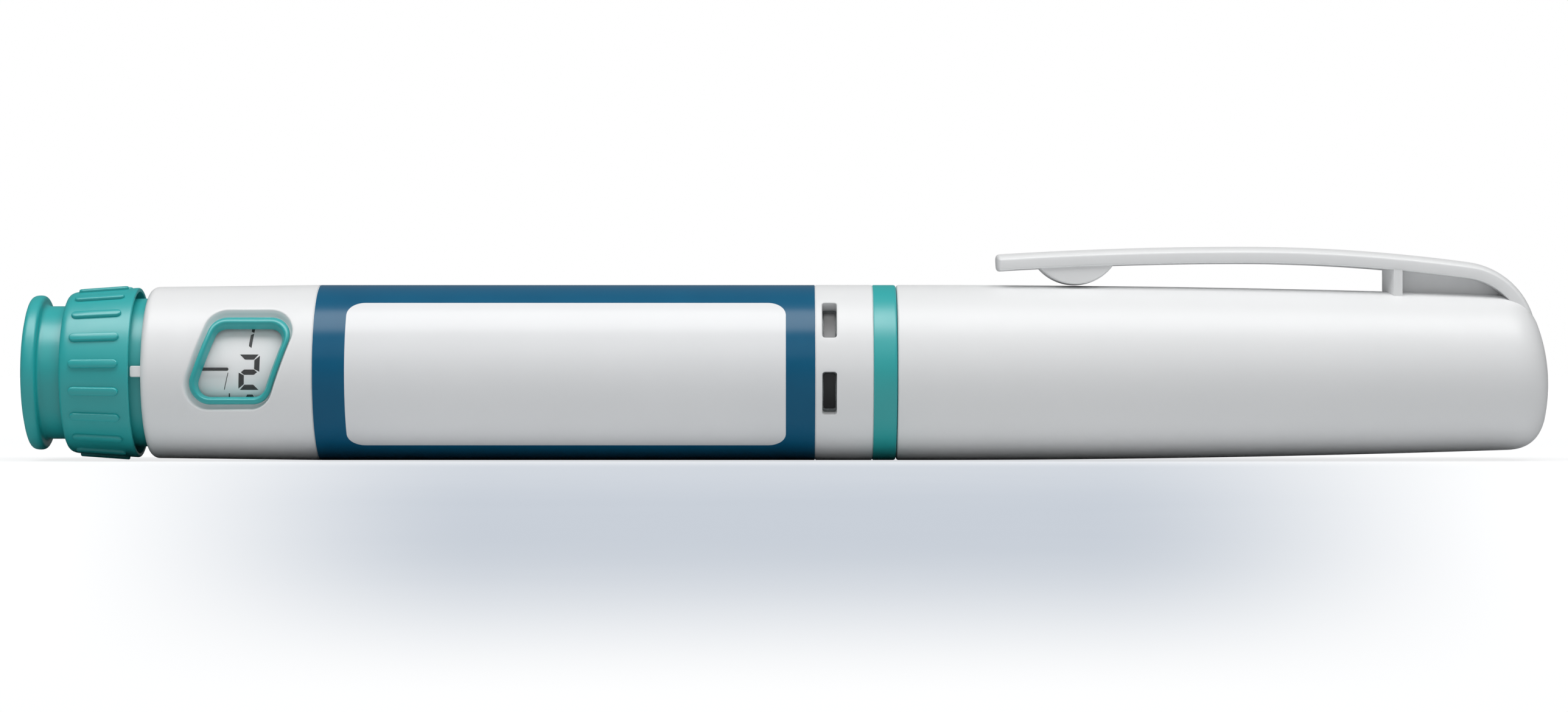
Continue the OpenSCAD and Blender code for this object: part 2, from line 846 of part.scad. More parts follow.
// Root of the clip: its bar and nose, the wall and the web under them
module clip_root() {
    flex_turn = asin(flex_x / clip_root_radius);
    low_z = axis_h + cap_inside(cap_l - cap_end_t);
    under = [
        for (i = [0:arc_steps])
            let (s = flex_x + (nose_x - flex_x) * i / arc_steps)
            [
                crest_x + s,
                crest_z - clip_root_radius + sqrt(pow(clip_root_radius, 2) - s * s) - clip_t / 2
            ]
    ];
    nose_end = [
        nose_mid_x + (nose_radius - clip_t / 2) * sin(nose_end_turn),
        nose_mid_z + (nose_radius - clip_t / 2) * cos(nose_end_turn)
    ];
    prow_share = 0.9;
    prow = prow_share * clip_wall_t;
    clip_run(crest_x, crest_z - clip_root_radius, clip_root_radius, flex_turn, nose_turn);
    clip_run(nose_mid_x, nose_mid_z, nose_radius, nose_turn, nose_end_turn);
    translate([0, clip_web_t / 2, 0])
        rotate([90, 0, 0])
            linear_extrude(clip_web_t)
                polygon(concat(under, [nose_end, [nose_end[0], low_z], [wall_x, low_z], [flex_at, low_z]]));
    translate([0, 0, low_z])
        linear_extrude(crest_z - clip_t / 2 - pow(flex_x + 2 * clip_wall_t, 2) / (2 * clip_root_radius) - low_z)
            polygon([
                [wall_x, -clip_w / 2],
                [wall_x, clip_w / 2],
                [wall_x + clip_wall_t, clip_w / 2],
                [wall_x + clip_wall_t, -clip_w / 2]
            ]);
    translate([0, 0, low_z])
        linear_extrude(crest_z - clip_t / 2 - pow(flex_x + clip_wall_t, 2) / (2 * clip_root_radius) - low_z)
            polygon([[wall_x, -clip_w / 2], [wall_x - prow, 0], [wall_x, clip_w / 2]]);
}

module cap_shell() {
    round_x = cap_l - cap_round_at;
    round_r = cap_radius(round_x);
    stations = 12;
    inner_end = cap_l - cap_end_t;
    dome_in = 3 * cap_end_t / 4;
    color("#f1f2f2")
        difference() {
            union() {
                intersection() {
                    on_axis(cap_x)
                        rotate_extrude()
                            polygon(concat(
                                [[0, 0], [body_r - running_gap, 0], [body_r, running_gap]],
                                [
                                    for (i = [0:stations])
                                        let (s = cap_straight_l + (round_x - cap_straight_l) * i / stations)
                                        [cap_radius(s), s]
                                ],
                                arc([round_r - cap_edge_round, round_x], cap_edge_round, 10, 75),
                                [[0, cap_l + overrun]]
                            ));
                    translate([cap_end_x - cap_dome_radius, 0, axis_h - cap_dome_drop]) {
                        sphere(r = cap_dome_radius);
                        rotate([0, -90, 0])
                            cylinder(r = cap_dome_radius, h = cap_l);
                    }
                }
                clip_root();
            }
            on_axis(cap_x)
                rotate_extrude()
                    polygon(concat(
                        [[0, -overrun], [cap_bore_r, -overrun]],
                        [
                            for (i = [0:stations])
                                let (s = (inner_end - dome_in) * i / stations)
                                [cap_inside(s), s]
                        ],
                        [[cap_inside(inner_end) - dome_in, inner_end], [0, inner_end]]
                    ));
        }
}

housing();
window_frame();
window_lens();
dose_label();
thread_insert();
rod_nut();
ratchet_ring();
collar_ring();
cartridge_holder();
cartridge_glass();
crimp_cap();
septum();
plunger();
rod_foot();
piston_rod();
drive_sleeve();
clutch_ring();
last_dose_nut();
number_sleeve();
dose_selector();
injection_button();
button_spring();
cap_shell();
cap_clip();
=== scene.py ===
import math
import bmesh
import bpy
import numpy as np
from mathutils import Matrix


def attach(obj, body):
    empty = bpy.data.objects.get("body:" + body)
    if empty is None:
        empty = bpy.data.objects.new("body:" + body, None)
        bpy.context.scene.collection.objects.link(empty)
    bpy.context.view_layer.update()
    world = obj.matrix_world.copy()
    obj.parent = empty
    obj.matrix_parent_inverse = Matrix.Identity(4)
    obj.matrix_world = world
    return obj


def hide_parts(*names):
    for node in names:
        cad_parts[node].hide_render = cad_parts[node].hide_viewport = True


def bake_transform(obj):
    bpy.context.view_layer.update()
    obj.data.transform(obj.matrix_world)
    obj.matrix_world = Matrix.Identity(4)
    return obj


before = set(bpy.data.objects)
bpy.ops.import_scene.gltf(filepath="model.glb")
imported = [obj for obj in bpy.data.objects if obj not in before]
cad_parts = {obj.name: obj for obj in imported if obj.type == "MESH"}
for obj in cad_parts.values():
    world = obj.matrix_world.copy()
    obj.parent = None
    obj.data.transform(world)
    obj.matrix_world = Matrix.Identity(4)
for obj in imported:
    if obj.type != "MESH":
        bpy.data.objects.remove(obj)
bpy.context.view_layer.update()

scene = bpy.context.scene
scene.view_settings.view_transform = "Standard"


# CAMERA. It stands level in front of the pen, a little above its axis, and looks
# along +Y. The lens gives 6869 pixels for each metre at one metre in a frame
# that is 2576 pixels wide.
camera_y = -0.430
camera_z = 0.0107
frame_pixels = 2576
camera_data = bpy.data.cameras.new("camera")
camera_data.sensor_fit = "HORIZONTAL"
camera_data.sensor_width = 36.0
camera_data.lens = camera_data.sensor_width * 6869 / frame_pixels
camera_data.clip_start = 0.01
camera_data.dof.use_dof = False
camera = bpy.data.objects.new("camera", camera_data)
camera.location = (-0.00035, camera_y, camera_z)
camera.rotation_euler = (math.radians(90), 0, 0)
scene.collection.objects.link(camera)
scene.camera = camera


# FLOOR AND LIGHT. The pen lies on a white sheet, under a long softbox above and a
# weaker fill from the camera's side. A soft blue-grey tone on the sheet stands in
# for the shadow that is drawn in front of the pen.
class Wire:
    """A value in a material: operators on it add Math nodes, so that shader maths reads as Python."""

    def __init__(self, finish, socket):
        self.finish = finish
        self.socket = socket

    def other(self, name):
        """Another output of the same node."""
        return Wire(self.finish, self.socket.node.outputs[name])

    def maths(self, operation, *values):
        """Math node on the values, which are wires or plain numbers."""
        return self.finish.node("ShaderNodeMath", {"operation": operation}, dict(enumerate(values)))

    def __add__(self, value):
        return self.maths("ADD", self, value)

    def __sub__(self, value):
        return self.maths("SUBTRACT", self, value)

    def __mul__(self, value):
        return self.maths("MULTIPLY", self, value)

    def __truediv__(self, value):
        return self.maths("DIVIDE", self, value)

    def __radd__(self, value):
        return self.maths("ADD", value, self)

    def __rsub__(self, value):
        return self.maths("SUBTRACT", value, self)

    def __rmul__(self, value):
        return self.maths("MULTIPLY", value, self)

    def __rtruediv__(self, value):
        return self.maths("DIVIDE", value, self)

    def __abs__(self):
        return self.maths("ABSOLUTE", self)

    def between(self, low, high):
        """0 below low, 1 above high, and a smooth rise between them."""
        return self.finish.node(
            "ShaderNodeMapRange",
            {"interpolation_type": "SMOOTHSTEP"},
            {"Value": self, "From Min": low, "From Max": high},
        )


class Finish:
    """A material, or the world, that is written as expressions on its wires."""

    def __init__(self, name, kind=bpy.data.materials):
        self.material = kind.new(name)
        self.material.use_nodes = True
        self.tree = self.material.node_tree
        self.tree.nodes.clear()

    def node(self, kind, settings=None, inputs=None, out=0):
        """Adds a node, sets its settings first and then its sockets, and gives one output."""
        made = self.tree.nodes.new(kind)
        for key, value in (settings or {}).items():
            setattr(made, key, value)
        for key, value in (inputs or {}).items():
            if isinstance(value, Wire):
                self.tree.links.new(value.socket, made.inputs[key])
            else:
                made.inputs[key].default_value = value
        return Wire(self, made.outputs[out]) if made.outputs else None

    def place(self):
        """Object coordinates, in metres."""
        return self.node("ShaderNodeTexCoord", out="Object")

    def noise(self, per_metre, detail=2.0, stretch=(1, 1, 1)):
        """Noise of that many grains to the metre, stretched along the axes."""
        spread = self.node("ShaderNodeMapping", {}, {"Vector": self.place(), "Scale": stretch})
        return self.node(
            "ShaderNodeTexNoise", {}, {"Vector": spread, "Scale": per_metre, "Detail": detail}
        )

    def mix(self, factor, low, high):
        """Colour that goes from low to high with the factor."""
        inputs = {"Factor": factor, 6: rgba(low), 7: rgba(high)}
        return self.node("ShaderNodeMix", {"data_type": "RGBA"}, inputs, out=2)

    def bump(self, height, depth):
        """Normal of a surface whose relief is height times depth, in metres."""
        return self.node("ShaderNodeBump", {}, {"Height": height, "Distance": depth, "Strength": 1.0})

    def surface(self, **sockets):
        """Closes the material with a Principled shader; underscores stand for spaces."""
        inputs = {key.replace("_", " "): value for key, value in sockets.items()}
        shader = self.node("ShaderNodeBsdfPrincipled", {}, inputs)
        self.node("ShaderNodeOutputMaterial", {}, {"Surface": shader})
        return self.material


def rgba(colour):
    """A colour with its alpha, or a wire as it is."""
    return colour if isinstance(colour, Wire) else (*colour, 1.0)


def flat_sheet(half_x, near_y, far_y):
    """Flat grid at z = 0: x runs over plus and minus half_x, y from near to far."""
    x, y = np.meshgrid([-half_x, half_x], [near_y, far_y], indexing="ij")
    mesh = bpy.data.meshes.new("floor")
    mesh.from_pydata(np.stack([x, y, 0 * x], axis=-1).reshape(-1, 3).tolist(), [], [(0, 2, 3, 1)])
    return mesh


floor_white = Finish("floor_white")
seen = floor_white.node("ShaderNodeLightPath", out="Is Camera Ray")
spot = floor_white.node("ShaderNodeSeparateXYZ", {}, {0: floor_white.place()})
depth = spot.other("Y") - camera_y
sideways = abs(spot / depth)
forwards = camera_z / depth
near_pen = forwards.between(0.0236, 0.0268) * (0.85 + forwards.between(0.026, 0.036) * 0.15)
shade = (1 - sideways.between(0.070, 0.188)) * (1 - forwards.between(0.042, 0.083)) * near_pen
far_off = 1 - forwards.between(0.008, 0.022)
grain = floor_white.noise(60.0)
tone = floor_white.mix(shade, (0.81, 0.81, 0.81), (0.355, 0.395, 0.455))
looked_at = seen + seen.other("Is Glossy Ray")
paper = floor_white.node(
    "ShaderNodeBsdfDiffuse",
    {},
    {"Color": floor_white.mix(looked_at, (0.74, 0.75, 0.76), (0.21, 0.215, 0.22))},
)
lift = floor_white.node(
    "ShaderNodeEmission",
    {},
    {
        "Color": floor_white.mix(grain * 0.04, tone, (0.75, 0.76, 0.78)),
        "Strength": seen * (far_off * 0.3 + 1),
    },
)
both = floor_white.node("ShaderNodeAddShader", {}, {0: paper, 1: lift})
floor_white.node("ShaderNodeOutputMaterial", {}, {"Surface": both})
floor = bpy.data.objects.new("floor", flat_sheet(1.6, -0.9, 1.6))
floor.data.materials.append(floor_white.material)
scene.collection.objects.link(floor)

studio = Finish("studio", bpy.data.worlds)
scene.world = studio.material
white_seen = studio.node("ShaderNodeLightPath", out="Is Camera Ray") * 0.83 + 0.17
sky = studio.node("ShaderNodeBackground", {}, {"Color": (1, 1, 1, 1), "Strength": white_seen})
studio.node("ShaderNodeOutputWorld", {}, {"Surface": sky})


def softbox(name, elevation, distance, length, width, power):
    """Long area lamp at an angle above the camera's side that faces the pen's middle."""
    lamp = bpy.data.lights.new(name, "AREA")
    lamp.shape = "RECTANGLE"
    lamp.size = length
    lamp.size_y = width
    lamp.energy = power
    holder = bpy.data.objects.new(name, lamp)
    a = math.radians(elevation)
    holder.location = (0, -distance * math.cos(a), pen_axis + distance * math.sin(a))
    holder.rotation_euler = (math.radians(90) - a, 0, 0)
    scene.collection.objects.link(holder)


pen_axis = 0.009
softbox("softbox_above", 73, 0.50, 0.80, 0.30, 3.0)
softbox("fill_in_front", 32, 1.20, 0.90, 0.50, 0.8)


# HOUSING. A long injection-moulded tube in white satin plastic. Its window sits in
# a bevelled recess, its cap end has four slots for the cartridge holder's tabs, and
# a small nib at the dial end marks where the dose is read off.
AXIS = 9.0
housing_start = -65.35
housing_end = 8.72
bore = 7.75
window_middle = -55.20
window_turn = 8.3


def round_the_axis(x, turn, radius):
    """Points at x along the pen and an angle above the side that faces -Y, in millimetres."""
    a = np.radians(turn)
    x, y, z = np.broadcast_arrays(x, -radius * np.cos(a), AXIS + radius * np.sin(a))
    return np.stack([x, y, z], axis=-1)


def over_a_spot(x, turn, p, q, radius):
    """Points p along the pen and q up from a spot on it, straight out to a cylinder of that radius."""
    a = math.radians(turn)
    out = np.sqrt(radius ** 2 - q ** 2)
    y = -(out * math.cos(a) - q * math.sin(a))
    z = AXIS + out * math.sin(a) + q * math.cos(a)
    x, y, z = np.broadcast_arrays(x + p, y, z)
    return np.stack([x, y, z], axis=-1)


def quads_between(first, second, closed=True):
    """Four-sided faces between two rows of vertex numbers of the same length."""
    a, b = (first, np.roll(first, -1)) if closed else (first[:-1], first[1:])
    d, c = (second, np.roll(second, -1)) if closed else (second[:-1], second[1:])
    return np.stack([a, b, c, d], axis=-1)


def joined(rows, closed=False):
    """Points of rows of one length, and the faces that join each row to the next one; closed
    joins the last row to the first too."""
    points = np.stack(rows)
    number = np.arange(points.shape[0] * points.shape[1]).reshape(points.shape[:2])
    loops = [quads_between(number[k - 1], number[k]) for k in range(0 if closed else 1, len(number))]
    return points.reshape(-1, 3), np.concatenate(loops)


def together(meshes):
    """One mesh out of several, each given as its points and faces."""
    shifts = np.cumsum([0] + [len(points) for points, faces in meshes])
    faces = [faces + shift for (points, faces), shift in zip(meshes, shifts)]
    return np.concatenate([points for points, faces in meshes]), np.concatenate(faces)


def plug_over_spot(outline, shares_and_radii, x, turn):
    """Closed plug: rings of one outline drawn in towards its middle by a share, at their radii."""
    middle = outline.mean(axis=0)
    rings = [(middle + share * (outline - middle), radius) for share, radius in shares_and_radii]
    return joined([over_a_spot(x, turn, *ring.T, radius) for ring, radius in rings])


def add_piece(name, points, faces, material, body, sharp=35, replaces=()):
    """Makes a closed piece from points in millimetres, welds it and turns its faces outwards."""
    mesh = bpy.data.meshes.new(name)
    mesh.from_pydata((points * 0.001).tolist(), [], faces.tolist())
    work = bmesh.new()
    work.from_mesh(mesh)
    bmesh.ops.remove_doubles(work, verts=work.verts, dist=2e-7)
    bmesh.ops.recalc_face_normals(work, faces=work.faces)
    work.to_mesh(mesh)
    work.free()
    mesh.polygons.foreach_set("use_smooth", np.ones(len(mesh.polygons), bool))
    mesh.set_sharp_from_angle(angle=math.radians(sharp))
    mesh.materials.append(material)
    piece = bpy.data.objects.new(name, mesh)
    scene.collection.objects.link(piece)
    if body:
        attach(piece, body)
    if replaces:
        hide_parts(*replaces)
    return piece


def outline_sides(w, h, corner, lean, grow=0.0, shift=(0.0, 0.0), n=24):
    """Outline of a leaning rectangle with round corners, as four sides that meet at mid-corner.

    Each corner is an arc about a centre that leans with its height; grow pushes it outwards."""
    tilt = math.degrees(math.atan(lean))
    half_w = w / 2 - corner * math.sqrt(1 + lean * lean)
    half_h = h / 2 - corner
    arcs = []
    for sx, sy, a0, a1 in (
        (-1, -1, 180 - tilt, 270), (1, -1, -90, -tilt), (1, 1, -tilt, 90), (-1, 1, 90, 180 - tilt)
    ):
        a = np.radians(np.linspace(a0, a1, 2 * n + 1))
        x = sx * half_w + lean * sy * half_h + shift[0] + (corner + grow) * np.cos(a)
        y = sy * half_h + shift[1] + (corner + grow) * np.sin(a)
        arcs.append(np.stack([x, y], axis=-1))
    return [np.concatenate([arcs[k][n:], arcs[(k + 1) % 4][: n + 1]]) for k in range(4)]


def sampled(sides, counts, ease=0.55):
    """Points along the four sides, counts on each, closer together towards the corners."""
    found = []
    for side, count in zip(sides, counts):
        run = np.concatenate([[0], np.cumsum(np.linalg.norm(np.diff(side, axis=0), axis=1))])
        f = np.arange(count) / count
        f = f - ease * np.sin(2 * np.pi * f) / (2 * np.pi)
        at = f * run[-1]
        found.append(np.stack([np.interp(at, run, side[:, 0]), np.interp(at, run, side[:, 1])], axis=-1))
    return np.concatenate(found)


def tube_with_holes(xs, turns, outside, inside, holes):
    """Closed tube on a grid of x lines and turn lines, with a bridge to each hole.

    The outer wall lies at outside(x) and the inner at inside. A hole takes out a block of
    the grid; rings of points lead from the block's edge in to the hole's own edge, on the
    outer wall and again on the inner, and a wall joins the last ring of both."""
    rows, columns = len(xs), len(turns)
    number = np.arange(rows * columns).reshape(rows, columns)
    x, t = np.meshgrid(xs, turns, indexing="ij")
    outer = round_the_axis(x, t, outside(x)).reshape(-1, 3)
    inner = round_the_axis(x, t, inside).reshape(-1, 3)
    points = [outer, inner]
    total = len(outer)
    keep = np.ones((rows - 1, columns), bool)
    faces = []
    count = 2 * total
    for hole in holes:
        i0, i1, j0, j1 = hole["block"]
        keep[i0:i1, j0:j1] = False
        edge = np.concatenate([
            number[i0:i1, j0], number[i1, j0:j1], number[i1:i0:-1, j1], number[i0, j1:j0:-1]
        ])
        counts = (i1 - i0, j1 - j0, i1 - i0, j1 - j0)
        before, before_in = edge, edge + total
        for sides, depth in hole["rings"]:
            p, q = sampled(sides, counts).T
            radius = outside(hole["x"] + p) - depth
            points.append(over_a_spot(hole["x"], hole["turn"], p, q, radius))
            points.append(over_a_spot(hole["x"], hole["turn"], p, q, inside))
            ring = count + np.arange(len(edge))
            count += 2 * len(edge)
            faces += [quads_between(before, ring), quads_between(before_in, ring + len(edge))]
            before, before_in = ring, ring + len(edge)
        faces.append(quads_between(before, before_in))
    i, j = np.nonzero(keep)
    k = (j + 1) % columns
    grid = np.stack([number[i, j], number[i, k], number[i + 1, k], number[i + 1, j]], axis=-1)
    ends = [quads_between(number[e], number[e] + total) for e in (0, -1)]
    return np.concatenate(points), np.concatenate([grid, grid + total, *ends, *faces])


white_satin = Finish("white_satin_plastic")
cloud = white_satin.noise(90.0)
skin = white_satin.noise(5200.0, 3.0)
white_plastic = white_satin.surface(
    Base_Color=white_satin.mix(cloud, (0.80, 0.81, 0.815), (0.84, 0.845, 0.85)),
    Roughness=white_satin.noise(700.0) * 0.10 + 0.33,
    IOR=1.50,
    Subsurface_Weight=0.12,
    Subsurface_Radius=(1.0, 1.0, 1.0),
    Subsurface_Scale=0.0006,
    Normal=white_satin.bump(skin, 0.0000016),
)

body_r = 9.0
dial_end_r = 8.8
dial_end_round = 0.9
label_start = -47.90
label_end = 2.79
label_seat_r = 8.93


def rear_outside(x):
    """Radius from the rounded dial end to the label: a quarter circle, then a slight flare."""
    s = np.clip(x - housing_start, 0, None)
    past = np.clip(dial_end_round ** 2 - (dial_end_round - s) ** 2, 0, None)
    end = dial_end_r - dial_end_round + np.sqrt(past)
    run = label_start - 0.1 - housing_start - dial_end_round
    flare = dial_end_r + (body_r - dial_end_r) * (s - dial_end_round) / run
    return np.where(s < dial_end_round, end, np.minimum(flare, body_r))


frame_size = (8.70, 9.0, 2.05, 0.35)
frame_shift = (-0.13, 0.20)
recess_size = (9.45, 10.42, 2.475, 0.35)
recess_shift = (-0.25, 0.24)


def recess_line(grow):
    """Outline of the recess, moved outwards."""
    return outline_sides(*recess_size, grow=grow, shift=recess_shift)


def bezel_line(grow):
    """Outline of the frame that sits in the recess, moved outwards."""
    return outline_sides(*frame_size, grow=grow, shift=frame_shift)


curve = housing_start + dial_end_round * (1 - np.cos(np.radians(np.linspace(0, 90, 10))))
block_x = window_middle + np.linspace(-6.25, 6.15, 33)
before_block = np.linspace(-64.3, -61.9, 5)
rear_xs = np.concatenate([curve, before_block, block_x, [-48.6, -48.2, -48.03, -48.0]])
block_turns = window_turn + np.linspace(-44, 44, 33)
other_turns = np.linspace(block_turns[-1], block_turns[0] + 360, 86)[1:-1]
rear_turns = np.concatenate([block_turns, other_turns])
first = len(curve) + len(before_block)
between = [0.5 * (a + b) for a, b in zip(recess_line(0.0), bezel_line(0.0))]
window_hole = {
    "x": window_middle,
    "turn": window_turn,
    "block": (first, first + 32, 0, 32),
    "rings": [
        (recess_line(0.30), 0.0),
        (recess_line(0.07), 0.0),
        (recess_line(0.0), 0.02),
        (recess_line(-0.07), 0.07),
        (between, 0.44),
        (bezel_line(0.06), 0.70),
        (bezel_line(-0.02), 0.74),
        (bezel_line(-0.60), 0.74),
    ],
}
points, faces = tube_with_holes(rear_xs, rear_turns, rear_outside, bore, [window_hole])
add_piece("housing_rear", points, faces, white_plastic, "body", replaces=["housing"])


def middle_outside(x):
    """Radius under the label film."""
    return label_seat_r + 0 * x


points, faces = tube_with_holes(
    np.linspace(-48.0, 2.89, 3), np.linspace(0, 360, 145)[:-1], middle_outside, bore, []
)
add_piece("housing_middle", points, faces, white_plastic, "body")


def front_outside(x):
    """Radius at the cap end, with its last tenth broken by a small chamfer."""
    return body_r - chamfer * np.clip((x - housing_end + chamfer) / chamfer, 0, 1)


chamfer = 0.12
slot_middle = housing_end - 4.47
slot_turns = (-13.8, 37.9, 166.2, 217.9)
slot_size = (1.5, 2 * body_r * math.sin(math.radians(28.7 / 2)), 0.3, 0.0)
slot_x = slot_middle + np.linspace(-1.2, 1.2, 11)
front_xs = np.concatenate([[2.89, 2.90, 2.98], slot_x, np.linspace(5.8, 8.55, 5), [8.60, 8.66, 8.72]])
front_turns = []
slot_blocks = []
for n, middle in enumerate(slot_turns):
    start = len(front_turns)
    front_turns += list(middle + np.linspace(-18, 18, 25))
    slot_blocks.append((3, 13, start, start + 24))
    following = slot_turns[n + 1] if n < 3 else slot_turns[0] + 360
    gap = np.linspace(middle + 18, following - 18, max(2, int((following - middle - 36) / 3)))
    front_turns += list(gap[1:-1])
slot_holes = [
    {
        "x": slot_middle,
        "turn": middle,
        "block": block,
        "rings": [
            (outline_sides(*slot_size, grow=0.16), 0.0),
            (outline_sides(*slot_size, grow=0.06), 0.015),
            (outline_sides(*slot_size, grow=0.0), 0.07),
            (outline_sides(*slot_size, grow=-0.02), 0.30),
        ],
    }
    for middle, block in zip(slot_turns, slot_blocks)
]
points, faces = tube_with_holes(front_xs, np.array(front_turns), front_outside, bore, slot_holes)
add_piece("housing_front", points, faces, white_plastic, "body")


def rounded_loop(corners, radii, steps=5):
    """Closed outline whose corners are rounded: each corner becomes a quadratic curve between
    the points that lie its radius away along both sides."""
    corners = np.array(corners, float)
    found = []
    for k, radius in enumerate(radii):
        here, before, after = corners[k], corners[k - 1], corners[(k + 1) % len(corners)]
        if radius == 0:
            found.append(here[None])
            continue
        a = here + (before - here) * min(0.5, radius / np.linalg.norm(before - here))
        b = here + (after - here) * min(0.5, radius / np.linalg.norm(after - here))
        f = np.linspace(0, 1, steps + 1)[:, None]
        found.append((1 - f) ** 2 * a + 2 * f * (1 - f) * here + f ** 2 * b)
    return np.concatenate(found)


nib_outline = rounded_loop(
    [(-66.38, -0.56), (-64.9, -0.56), (-64.9, 0.56), (-66.38, 0.56)], [0.2, 0, 0, 0.2]
)
nib_levels = [(0.0, 7.9), (1.0, 7.9), (1.0, 8.12), (0.88, 8.2), (0.0, 8.2)]
points, faces = plug_over_spot(nib_outline, nib_levels, 0, 1.0)
add_piece("stop_nib", points, faces, white_plastic, "body")


# LABEL. A printed film wrapped once round the housing: deep blue ink with a bare
# white panel that faces the camera, under a clear satin coat. Its overlap runs
# along the back.
def turned(profile, parts=192, thread=None):
    """Solid of revolution: an outline of x and radius, carried once round the pen's axis.

    An outline that starts and ends on the axis is closed by its poles, any other by itself. A
    thread is a function of x, turn and radius that tells how far the radius dips there."""
    profile = np.array(profile, float)
    x, turn = np.meshgrid(profile[:, 0], np.linspace(0, 360, parts + 1)[:-1], indexing="ij")
    radius = np.repeat(profile[:, 1:], parts, axis=1)
    if thread:
        radius = radius - thread(x, turn, radius)
    return joined(round_the_axis(x, turn, radius), closed=profile[0, 1] != 0)


printed = Finish("printed_label_film")
at = printed.node("ShaderNodeSeparateXYZ", {}, {0: printed.place()})
along = at * 1000
back = at.other("Y")
up = at.other("Z") - pen_axis
turn_mm = up.maths("ARCTAN2", up, back * -1) * body_r
panel_middle_x, panel_half_x = -22.41, 22.24
panel_middle_s, panel_half_s = -0.24, 8.40
panel_corner = 1.85
dx = abs(along - panel_middle_x) - (panel_half_x - panel_corner)
ds = abs(turn_mm - panel_middle_s) - (panel_half_s - panel_corner)
dx_out = dx.maths("MAXIMUM", dx, 0.0)
ds_out = ds.maths("MAXIMUM", ds, 0.0)
squares = dx_out * dx_out + ds_out * ds_out
inked = squares.maths("SQRT", squares).between(panel_corner - 0.03, panel_corner + 0.03)
seam_line = 1 - abs(turn_mm + 27.2).between(0.05, 0.12)
ink = printed.mix(printed.noise(260.0, 3.0), (0.0016, 0.092, 0.190), (0.0024, 0.110, 0.220))
paper_white = printed.mix(printed.noise(120.0), (0.80, 0.81, 0.82), (0.84, 0.85, 0.86))
label_colour = printed.mix(inked, paper_white, ink)
label_film = printed.surface(
    Base_Color=printed.mix(seam_line, label_colour, (0.25, 0.33, 0.40)),
    Roughness=printed.noise(900.0) * 0.06 + 0.30,
    Specular_IOR_Level=0.12,
    Coat_Weight=0.5,
    Coat_Roughness=0.22,
    Normal=printed.bump(printed.noise(1500.0, 2.0), 0.000002),
)
points, faces = turned(rounded_loop(
    [(label_start, label_seat_r), (label_end, label_seat_r), (label_end, body_r), (label_start, body_r)],
    [0, 0, 0.05, 0.05], 3,
))
add_piece("printed_label", points, faces, label_film, "body", replaces=["dose_label"])


# COLLAR RING. A thin teal band pressed over the cartridge holder between the
# housing and the cap; its cap side is rounded.
teal_satin = Finish("teal_satin_plastic")
tint = teal_satin.noise(110.0)
teal_plastic = teal_satin.surface(
    Base_Color=teal_satin.mix(tint, (0.011, 0.385, 0.390), (0.016, 0.425, 0.425)),
    Roughness=teal_satin.noise(700.0) * 0.10 + 0.32,
    Specular_IOR_Level=1.0,
    Normal=teal_satin.bump(teal_satin.noise(4200.0, 3.0), 0.0000020),
)
collar_end = 11.1
points, faces = turned(rounded_loop(
    [(housing_end, bore), (housing_end, body_r), (collar_end, body_r), (collar_end, bore)], [0, 0.12, 0.3, 0]
))
add_piece("collar_band", points, faces, teal_plastic, "body", replaces=["collar_ring"])


# WINDOW FRAME. A teal moulded bezel that clips into the window: a rounded lip, and
# inside it a sloping wall that leads down to the lens.
opening_size = (6.98, 6.95, 1.25, 0.35)
opening_shift = (-0.135, 0.0)


def frame_line(share, radius):
    """Ring of points part of the way from the frame's outer edge to its opening."""
    inner = outline_sides(*opening_size, shift=opening_shift)
    sides = [(1 - share) * a + share * b for a, b in zip(bezel_line(-0.04), inner)]
    return over_a_spot(window_middle, window_turn, *sampled(sides, (36, 36, 36, 36)).T, radius)


section = [
    (0.05, 7.55), (0.0, 8.10), (0.0, 8.36), (0.05, 8.53), (0.14, 8.66), (0.26, 8.74), (0.40, 8.75),
    (0.52, 8.70), (0.63, 8.58), (0.73, 8.38), (0.84, 8.06), (0.94, 7.86), (1.0, 7.74), (1.0, 7.55),
]
points, faces = joined([frame_line(share, radius) for share, radius in section], closed=True)
add_piece(
    "window_bezel", points, faces, teal_plastic, "body", sharp=50, replaces=["window_frame"]
)


# LENS. A thin clear cover, curved like the body, that snaps in behind the frame. Its
# pointer is printed on its inside.
clear = Finish("clear_window_plastic")
clear_window = clear.surface(
    Base_Color=clear.mix(clear.noise(200.0), (0.93, 0.97, 0.975), (0.96, 0.985, 0.99)),
    Roughness=clear.noise(600.0) * 0.03 + 0.04,
    IOR=1.46,
    Alpha=clear.noise(150.0) * 0.015 + 0.02,
    Coat_Weight=0.3,
    Coat_Roughness=0.03,
)


lens_outline = sampled(outline_sides(*opening_size, shift=opening_shift, grow=0.1), (36, 36, 36, 36))
levels = [(k / 10, 7.62) for k in range(0, 11)] + [(k / 10, 7.80) for k in range(10, -1, -1)]
points, faces = plug_over_spot(lens_outline, levels, window_middle, window_turn)
add_piece("window_cover", points, faces, clear_window, "body", replaces=["window_lens"])

black_print = Finish("black_print")
black_ink = black_print.surface(
    Base_Color=black_print.mix(black_print.noise(2500.0), (0.004, 0.004, 0.0045), (0.010, 0.010, 0.0105)),
    Roughness=black_print.noise(900.0) * 0.1 + 0.45,
)


